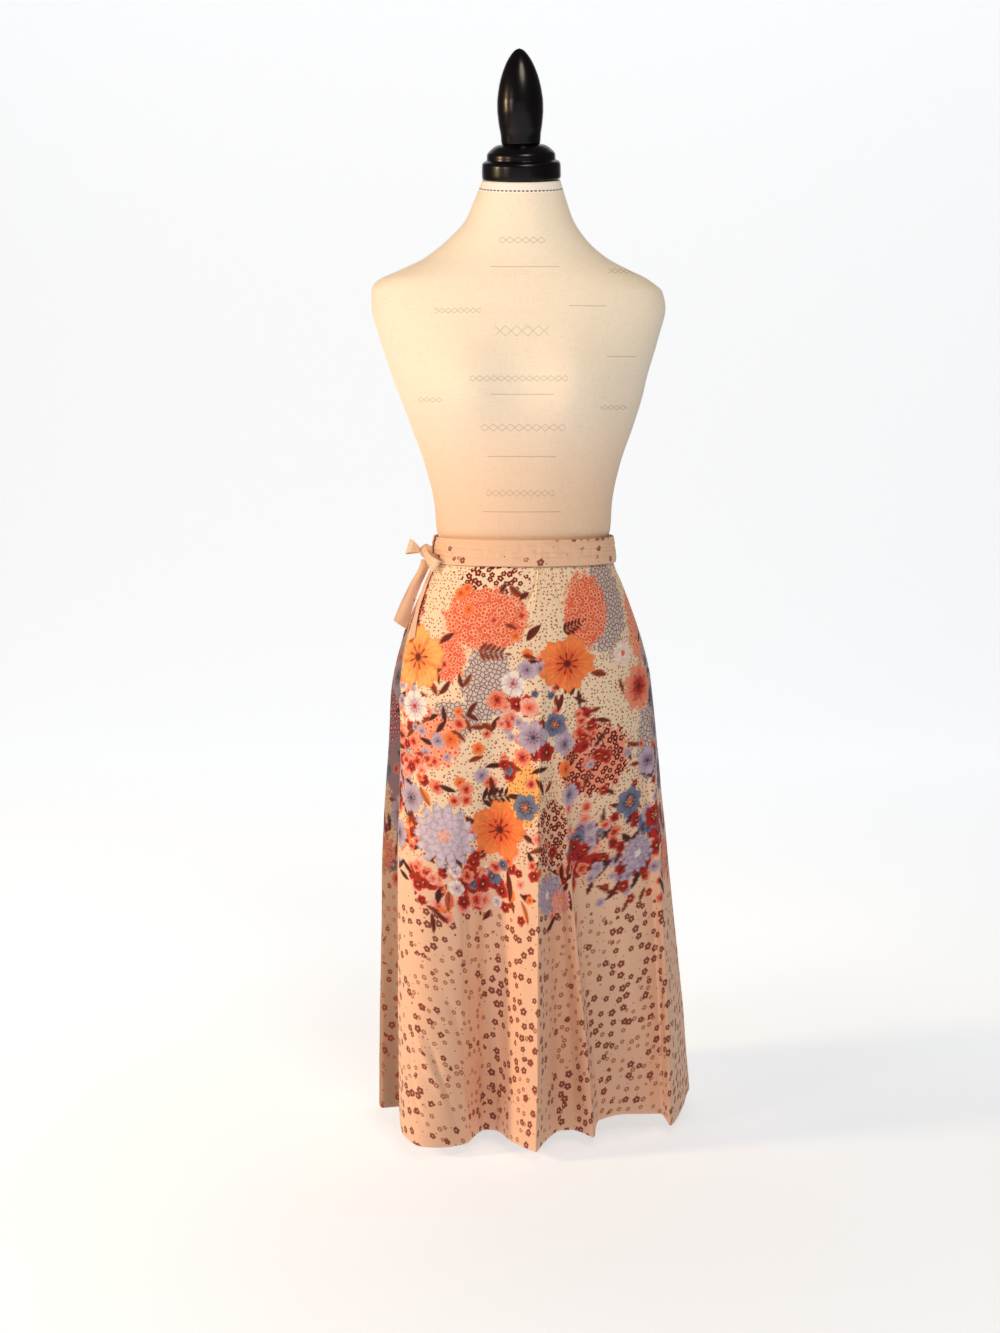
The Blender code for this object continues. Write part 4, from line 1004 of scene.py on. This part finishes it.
CHAINS = (  # across, up, half length, lozenge length, half height; a height of 0 is a plain rule
    (0.000, 1.168, 0.030, 0.0100, 0.0040), (0.004, 1.134, 0.044, 0.0100, 0.0),
    (-0.082, 1.078, 0.030, 0.0080, 0.0032), (0.084, 1.084, 0.024, 0.0090, 0.0),
    (0.000, 1.052, 0.034, 0.0140, 0.0065), (-0.004, 0.992, 0.062, 0.0090, 0.0035),
    (0.000, 0.972, 0.040, 0.0100, 0.0), (0.002, 0.930, 0.054, 0.0110, 0.0045),
    (0.118, 0.955, 0.018, 0.0080, 0.0030), (0.000, 0.893, 0.044, 0.0100, 0.0),
    (-0.118, 0.965, 0.016, 0.0080, 0.0030), (-0.002, 0.846, 0.044, 0.0090, 0.0040),
    (0.000, 0.822, 0.050, 0.0100, 0.0), (0.128, 1.020, 0.020, 0.0080, 0.0),
    (0.132, 1.130, 0.020, 0.0080, 0.0032),
)
TAPE_FOOT, STITCH_Z = 1.2360, 1.2385

linen, linen_shader, make = new_finish("linen", roughness=0.9, Sheen_Weight=0.1, Specular_IOR_Level=0.2)
maths, mix, edge = sums(make)
threads = make("ShaderNodeUVMap", uv_map="cloth").outputs[0]
weave = make("ShaderNodeGroup", {"Threads": threads, "Pitch": 0.0011, "Unevenness": 0.6}, node_tree=weave_group)
place = make("ShaderNodeSeparateXYZ", {0: make("ShaderNodeTexCoord").outputs["Object"]}).outputs
thick = maths("MULTIPLY", weave.outputs["Slub"], 0.55)
colour = mix(thick, linear(0.965, 0.925, 0.86), linear(0.87, 0.81, 0.73))
pores = maths("MULTIPLY", edge(weave.outputs["Height"], 0.30, 0.05), 0.35)
colour = mix(pores, colour, linear(0.72, 0.64, 0.55))
# Painted warm light: from just above the bust down to the waist the linen is tinted more and more peach, as warm
# light thrown up from the skirt would tint it.
colour = mix(maths("MULTIPLY", edge(place[2], 1.02, 0.80), 0.55), colour, linear(0.97, 0.80, 0.68), "MULTIPLY")
ink = 0.0
for across, up, half, lozenge, tall in CHAINS:
    chain = make(
        "ShaderNodeGroup",
        {"Across": maths("SUBTRACT", place[0], across), "Up": maths("SUBTRACT", place[2], up), "Half_Length": half,
         "Lozenge": lozenge, "Height": tall}, node_tree=trim_group)
    ink = maths("MAXIMUM", ink, chain.outputs["Ink"])
ink = maths("MULTIPLY", maths("MULTIPLY", ink, maths("LESS_THAN", place[1], 0.0)), 0.38)
colour = mix(ink, colour, linear(0.46, 0.40, 0.35))
level = maths("SUBTRACT", place[2], maths("MULTIPLY", place[1], math.tan(math.radians(NECK_TILT_DEG))))
colour = mix(edge(level, TAPE_FOOT - 0.0004, TAPE_FOOT + 0.0004), colour, linear(0.97, 0.95, 0.93))
along_tape = maths("ARCTAN2", place[0], maths("MULTIPLY", place[1], -1.0))
dashes = maths("LESS_THAN", maths("FRACT", maths("MULTIPLY", along_tape, 9.5)), 0.62)
off_stitch = maths("ABSOLUTE", maths("SUBTRACT", level, STITCH_Z))
stitches = maths("MULTIPLY", dashes, edge(off_stitch, 0.0011, 0.0006))
colour = mix(stitches, colour, linear(0.22, 0.17, 0.16))
linen.node_tree.links.new(colour, linen_shader.inputs["Base Color"])
bump = make("ShaderNodeBump", {"Strength": 0.5, "Distance": 0.0004, "Height": weave.outputs["Height"]})
linen.node_tree.links.new(bump.outputs[0], linen_shader.inputs["Normal"])

FORM_COLUMNS, FORM_ROWS = 240, 260
turn, height = np.meshgrid(
    np.linspace(0, 360, FORM_COLUMNS, endpoint=False), np.linspace(FIGURE["z"][0], FIGURE["z"][-1], FORM_ROWS))
points = figure_points(turn, height)
quads = grid_faces(FORM_ROWS, FORM_COLUMNS, wrap=True)
index = np.arange(FORM_ROWS * FORM_COLUMNS).reshape(FORM_ROWS, FORM_COLUMNS)
caps = np.stack([index[0, ::-1], index[-1]])
corner_turn = np.concatenate([turn.ravel()[quads].ravel(), turn.ravel()[caps].ravel()]) / 360
seam = np.concatenate([np.repeat(turn.ravel()[quads].max(1) > 355, 4), np.zeros(caps.size, bool)])
corner_turn = np.where(seam & (corner_turn < 0.5), corner_turn + 1.0, corner_turn)
corner_height = height.ravel()[np.concatenate([quads.ravel(), caps.ravel()])]
linen_uv = np.stack([corner_turn * 0.98, corner_height], axis=-1)
FORM_FOOT, FORM_HEIGHT = 0.47, 0.78
height_share = (corner_height - FORM_FOOT) / FORM_HEIGHT
bake_uv = np.stack([0.003 + corner_turn * 0.99, 0.01 + 0.98 * height_share], axis=-1)
figure = lay_mesh("linen_figure", points, [quads, caps], linen, linen_uv, bake_uv)
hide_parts("form_figure")
bust_ring = figure_points(np.linspace(0, 360, 200), np.full(200, BUST["z"]))
round_bust = float(np.linalg.norm(np.diff(bust_ring, axis=0), axis=1).sum())
print("figure faces", len(figure.data.polygons), "round the bust", round(round_bust, 3))

# %% [markdown]
# ## The turned neck cap
# The cap and its spindle are turned on a lathe and lacquered black. A turned piece is a profile spun
# round its axis. The profile is a smooth curve through a few radii, and a radius given twice close
# together makes a turned step.

# %% Turn the cap and the spindle
CAP = (
    (0.0500, 0.000), (0.0512, 0.0015), (0.0515, 0.006), (0.0513, 0.017), (0.0507, 0.0200), (0.0490, 0.0222),
    (0.0455, 0.0240), (0.0448, 0.0250), (0.0446, 0.0300), (0.0440, 0.0325), (0.0405, 0.0365),
    (0.0350, 0.0410), (0.0310, 0.0430), (0.0290, 0.0435),
)
SPINDLE = (
    (0.0225, 0.0000), (0.0246, 0.0008), (0.0254, 0.003), (0.0258, 0.008), (0.0262, 0.013), (0.0279, 0.023),
    (0.0292, 0.034), (0.0299, 0.044), (0.0298, 0.054), (0.0287, 0.064), (0.0270, 0.074), (0.0245, 0.084),
    (0.0210, 0.094), (0.0160, 0.105), (0.0090, 0.115), (0.0045, 0.1190), (0.0002, 0.1205),
)


def turned(name, profile, material, lean, base, steps=144, refine=6):
    """A profile of (radius, height) spun round its axis, with a smooth curve through its points."""
    radius, height = np.array(profile).T
    travel = np.concatenate([[0.0], np.cumsum(np.hypot(np.diff(radius), np.diff(height)))])
    at = np.unique(np.concatenate([np.linspace(a, b, refine + 1) for a, b in zip(travel, travel[1:])]))
    radius, height = through(travel, radius, at), through(travel, height, at)
    angle = np.linspace(0, 2 * np.pi, steps, endpoint=False)
    radius, height = radius[:, None], height[:, None]
    local = np.stack([radius * np.cos(angle), radius * np.sin(angle), height + 0 * angle], axis=-1)
    points = local.reshape(-1, 3) @ np.array(lean.to_matrix()).T + np.array(base)
    index = np.arange(radius.size * steps).reshape(radius.size, steps)
    faces = [grid_faces(radius.size, steps, wrap=True), np.stack([index[0, ::-1], index[-1]])]
    piece = lay_mesh(name, points, faces, material)
    piece.data.set_sharp_from_angle(angle=math.radians(50))
    return piece


lacquer, lacquer_shader, make = new_finish(
    "black_lacquer", roughness=0.26, Specular_IOR_Level=0.22, Coat_Weight=0.06, Coat_Roughness=0.06)
lacquer_shader.inputs["Base Color"].default_value = (*linear(0.03, 0.02, 0.035), 1.0)
lean = Euler((math.radians(NECK_TILT_DEG), math.radians(NECK_ROLL_DEG), 0.0))
NECK_RADIUS, CAP_GAP, SPINDLE_GAP = 0.050, 0.0003, 0.0001
neck_top = Vector((0.0, 0.0, FIGURE["z"][-1] + NECK_RADIUS * math.tan(math.radians(-NECK_ROLL_DEG))))
base = neck_top + lean.to_matrix() @ Vector((0, 0, CAP_GAP))
cap = turned("neck_cap_lacquered", CAP, lacquer, lean, base)
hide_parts("neck_cap")
above = base + lean.to_matrix() @ Vector((0, 0, CAP[-1][1] + SPINDLE_GAP))
spindle = turned("neck_spindle_lacquered", SPINDLE, lacquer, lean, above)
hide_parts("neck_spindle")

# %% [markdown]
# ## Sash, bow and tails
# The sash is a long soft strip. Where it is pulled round the waist it gathers into lengthwise folds,
# rounded on top and sharp between, that drift and merge. The bow is the same strip: a knot wrapped by one
# turn, two loops, and two free ends.

# %% Sash round the waist
SASH_OUT, SASH_WALL, BOW_WALL, SASH_WIDTH = 0.0037, 0.0012, 0.0008, 0.044
SASH_FOLDS = (  # where each trough runs, and its sway
    (0.34, 0.035), (0.50, 0.030), (0.64, 0.040), (0.80, 0.030), (0.92, 0.025))


def sash_surface(turn, up):
    """Out from the ring: a broad roll below, then rounded folds with a sharp trough between each two."""
    pace = turn / 140.0
    troughs = np.zeros_like(turn)
    for k, (middle, sway) in enumerate(SASH_FOLDS):
        line = middle + sway * ripple(pace, 0 * up, 20 + k) + 0.02 * np.sin(np.radians(turn) + k)
        depth = 0.55 + 0.45 * ripple(pace * 1.6, 0 * up, 30 + k)
        troughs += np.clip(depth, 0.12, 1.2) * np.exp(-np.abs(up - line) / 0.035)
    roll = 0.0016 * np.sin(np.pi * np.clip(up, 0, 1)) ** 0.5
    pulled = 0.0006 * ripple(turn / 9.0, up * 1.5, 44) * np.sin(np.pi * up)
    out = SASH_OUT + 0.0005 + roll + pulled - 0.0024 * np.clip(troughs, 0, 1.1)
    z = WAIST_Z + 0.0004 + (BAND_TOP_Z - WAIST_Z + 0.0005) * up
    x, y = ring(HANG, z, turn, out)
    return np.stack([x, y, z], axis=-1)


def sash_strip(name, node, middle, wall):
    """A shell of sash cloth round a middle surface, printed and named, and its sizes along its own folds."""
    uv = (arc_lengths(middle, 1), arc_lengths(middle, 0))
    piece = cloth_shell(name, middle, wall, sash_cloth, uv)
    paint(piece, sash_print(*uv), uv[0].shape)
    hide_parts(node)
    return piece, float(uv[0].max()), float(uv[1].max())


middle = sash_surface(*np.meshgrid(np.linspace(-74.0, 360.0 - 84.0, 601), np.linspace(1, 0, 40)))
sash, sash_round, sash_height = sash_strip("sash_cloth_round_waist", "sash_round_waist", middle, SASH_WALL)
print("sash", round(sash_round, 3), "m round, gathered height", round(sash_height, 4))

# %% Knot
KNOT_SIZE, KNOT_DEG, KNOT_Z, KNOT_OFF = np.array((0.0085, 0.0090, 0.0100)), -80.0, 0.7665, 0.0015
knot_x, knot_y = ring(HANG, KNOT_Z, KNOT_DEG, SASH_OUT + KNOT_OFF + KNOT_SIZE[0])
KNOT = np.array((float(knot_x), float(knot_y), KNOT_Z))
top_rise = np.pi / 2 - 0.02
turn, rise = np.meshgrid(np.linspace(0, 2 * np.pi, 96, endpoint=False), np.linspace(-top_rise, top_rise, 48))
wound = np.abs(np.sin(1.5 * turn + 2.2 * np.sin(rise) + 0.6))
fold = 1 - 0.11 * np.exp(-wound / 0.16) + 0.04 * np.cos(3 * rise)
shape = np.stack([np.cos(rise) * np.cos(turn), np.cos(rise) * np.sin(turn), np.sin(rise)], axis=-1)
index = np.arange(turn.size).reshape(turn.shape)
knot_faces = [grid_faces(*turn.shape, wrap=True), np.stack([index[0, ::-1], index[-1]])]
knot_points = KNOT + shape * fold[..., None] * KNOT_SIZE
knot_uv = np.stack([knot_points[..., 0] - knot_points[..., 1], knot_points[..., 2]], axis=-1).reshape(-1, 2)
corner_uv = np.concatenate([knot_uv[block.ravel()] for block in knot_faces])
knot = lay_mesh("bow_knot_cloth", knot_points, knot_faces, sash_cloth, corner_uv)
paint(knot, sash_print(turn, rise), turn.shape)
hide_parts("bow_knot")


# %% Bow loops
def bow_loop(name, node, leave, clear, out, face, length, width, opening):
    """A ribbon that leaves the knot and comes back: reach = length sin(pi t)^0.8, its depth opens and closes."""
    leave = np.array(Vector(leave).normalized())
    start = KNOT + leave * (1 / np.sqrt(((leave / KNOT_SIZE) ** 2).sum()) + clear)
    out = Vector(out).normalized()
    face = (Vector(face) - Vector(face).dot(out) * out).normalized()
    across = np.array(out.cross(face))
    s, t = np.meshgrid(np.linspace(-0.5, 0.5, 40), np.linspace(0, 1, 100))
    reach = length * np.sin(np.pi * t) ** 0.8
    depth = opening * (np.sin(2 * np.pi * t) * 0.5 + 0.20 * np.cos(np.pi * t))
    depth = depth + 0.0009 * np.cos(7 * np.pi * s) * np.sin(np.pi * t) ** 0.5
    ribbon = width * (0.35 + 0.65 * np.sin(np.pi * t)) * s
    middle = start + reach[..., None] * np.array(out) + depth[..., None] * np.array(face)
    middle = middle + ribbon[..., None] * across
    piece, _, travel = sash_strip(name, node, middle, BOW_WALL)


bow_loop(
    "bow_loop_outer_cloth", "bow_loop_outer", leave=(-1.0, -0.1, 0.15), clear=0.0004, out=(-0.88, -0.10, 0.30),
    face=(-0.2, -0.9, 0.3), length=0.0165, width=0.020, opening=0.013)
bow_loop(
    "bow_loop_front_cloth", "bow_loop_front", leave=(-0.05, -1.0, 0.05), clear=0.0008, out=(0.40, -0.79, -0.47),
    face=(-0.8, -0.45, 0.3), length=0.037, width=0.018, opening=0.0085)


# %% Hanging tails
TAIL_TURN = math.radians(12.0)


def tail(name, node, top, bottom, top_degrees, bottom_degrees, width, out, slant, stands):
    """A free end that widens as it falls and is cut aslant. It lies on the hip, or stands off and faces front."""
    s, share = np.meshgrid(np.linspace(-0.5, 0.5, 40), np.linspace(0, 1, 121))
    z = top + (bottom + slant * s - top) * share
    middle = top_degrees + (bottom_degrees - top_degrees) * share
    across = width * (0.55 + 0.45 * share)
    wave = 0.0012 * np.cos(2 * np.pi * s) + 0.0010 * share * np.sin(9 * share + 5 * s)
    if stands:
        x, y = ring(HANG, z, middle, out)
        x = x - across * (0.5 - s) * math.cos(TAIL_TURN)
        y = y - across * (0.5 - s) * math.sin(TAIL_TURN) - wave
    else:
        spread = np.degrees(across * s / through(HANG["z"], HANG["half_width"], z))
        x, y = ring(HANG, z, middle + spread, out + wave)
    piece, _, travel = sash_strip(name, node, np.stack([x, y, z], axis=-1), BOW_WALL)


tail(
    "tie_tail_long_cloth", "tie_tail_long", top=0.7560, bottom=0.6720, top_degrees=-80.0, bottom_degrees=-69.0,
    width=0.022, out=0.0072, slant=-0.012, stands=True)
tail(
    "tie_tail_short_cloth", "tie_tail_short", top=0.7560, bottom=0.6530, top_degrees=-73.5,
    bottom_degrees=-61.0, width=0.012, out=0.0066, slant=0.010, stands=False)

# %% [markdown]
# ## The stand
# The stand's foot, plate and pole are already right in the frame, so they keep their shapes and get a
# painted finish. So does the waistband, which the sash covers: it gets plain cream cloth.

# %% Finish the frame's own pieces
iron, iron_shader, make = new_finish("black_iron", roughness=0.5, Metallic=0.3)
iron_shader.inputs["Base Color"].default_value = (*linear(0.13, 0.13, 0.14), 1.0)
band_cloth, band_shader, make = new_finish("band_cloth", roughness=0.85)
band_shader.inputs["Base Color"].default_value = (*linear(*INKS["cream"]), 1.0)
plain = {"stand_foot": iron, "stand_plate": iron, "stand_pole": iron, "waistband": band_cloth}
for node, material in plain.items():
    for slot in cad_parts[node].material_slots:
        slot.material = material

# %% [markdown]
# ## Studio
# A pale sweep, glowing a little so that it stays white, stands behind and under the form. A warm lamp
# stands well to the left and only just in front, so each fold turns from gold to mauve. A softer one
# beside it fills the shade, and a narrow one from above lights the bust.

# %% Floor, lights and camera
bend = np.linspace(0, np.pi / 2, 24)
FLOOR_END, BEND_AT, BEND_RADIUS, WALL_TOP, HALF_WIDTH = -9.0, 3.0, 2.5, 6.0, 3.2
curve = [(BEND_AT + BEND_RADIUS * math.sin(a), BEND_RADIUS - BEND_RADIUS * math.cos(a)) for a in bend[1:]]
sweep = [(FLOOR_END, 0.0), (BEND_AT, 0.0), *curve, (BEND_AT + BEND_RADIUS, WALL_TOP)]
points = np.array([[(x, y, z) for x in (-HALF_WIDTH, HALF_WIDTH)] for y, z in sweep])
backdrop_mesh = bpy.data.meshes.new("studio_sweep")
backdrop_mesh.from_pydata(points.reshape(-1, 3).tolist(), [], grid_faces(len(sweep), 2).tolist())
backdrop_mesh.shade_smooth()
backdrop = bpy.data.objects.new("studio_sweep", backdrop_mesh)
bpy.context.scene.collection.objects.link(backdrop)
paper, paper_shader, make = new_finish("studio_paper", roughness=0.95)
paper_shader.inputs["Base Color"].default_value = (0.72, 0.75, 0.80, 1.0)
paper_shader.inputs["Emission Color"].default_value = (0.96, 0.985, 1.0, 1.0)
maths, mix, edge = sums(make)
# The glow is a little weaker within about a metre of the form, so the floor is dimmer round its foot: a painted
# shade.
here = make("ShaderNodeTexCoord").outputs["Object"]
away = make("ShaderNodeVectorMath", {0: here}, operation="LENGTH").outputs["Value"]
glow = maths("ADD", maths("MULTIPLY", edge(away, 0.25, 1.2), 0.10), 0.60)
paper.node_tree.links.new(glow, paper_shader.inputs["Emission Strength"])
backdrop_mesh.materials.append(paper)


def area_light(name, place, aim, size, power, colour, spread=180):
    """A round lamp that looks at a point; spread is the full angle of its beam in degrees."""
    light = bpy.data.lights.new(name, "AREA")
    light.shape, light.size, light.energy, light.color = "DISK", size, power, colour
    light.spread = math.radians(spread)
    lamp = bpy.data.objects.new(name, light)
    lamp.location = place
    lamp.rotation_euler = (Vector(aim) - Vector(place)).to_track_quat("-Z", "Y").to_euler()
    bpy.context.scene.collection.objects.link(lamp)


area_light("warm_key", (-3.0, -0.80, 1.35), (0, 0, 0.60), 0.6, 53.0, (1.0, 0.69, 0.38))
area_light("left_fill", (-2.3, -2.2, 1.2), (0, 0, 0.5), 0.7, 17.0, (1.0, 0.76, 0.66))
area_light("bust_fill", (0.35, -1.3, 2.15), (0, 0, 1.15), 0.7, 2.3, (1.0, 0.86, 0.68), spread=62)
world = bpy.data.worlds.new("soft_white")
bpy.context.scene.world = world
world.use_nodes = True
world.node_tree.nodes["Background"].inputs["Color"].default_value = (1.0, 0.93, 0.89, 1.0)
world.node_tree.nodes["Background"].inputs["Strength"].default_value = 0.13

camera_data = bpy.data.cameras.new("camera")
camera_data.lens, camera_data.sensor_width = 61.1, 36.0
camera = bpy.data.objects.new("camera", camera_data)
camera.location = (-0.028, -3.0, 0.973)
camera.rotation_euler = (math.radians(90 - 6.88), 0.0, 0.0)
bpy.context.scene.collection.objects.link(camera)
bpy.context.scene.camera = camera
bpy.context.scene.view_settings.view_transform = "Standard"
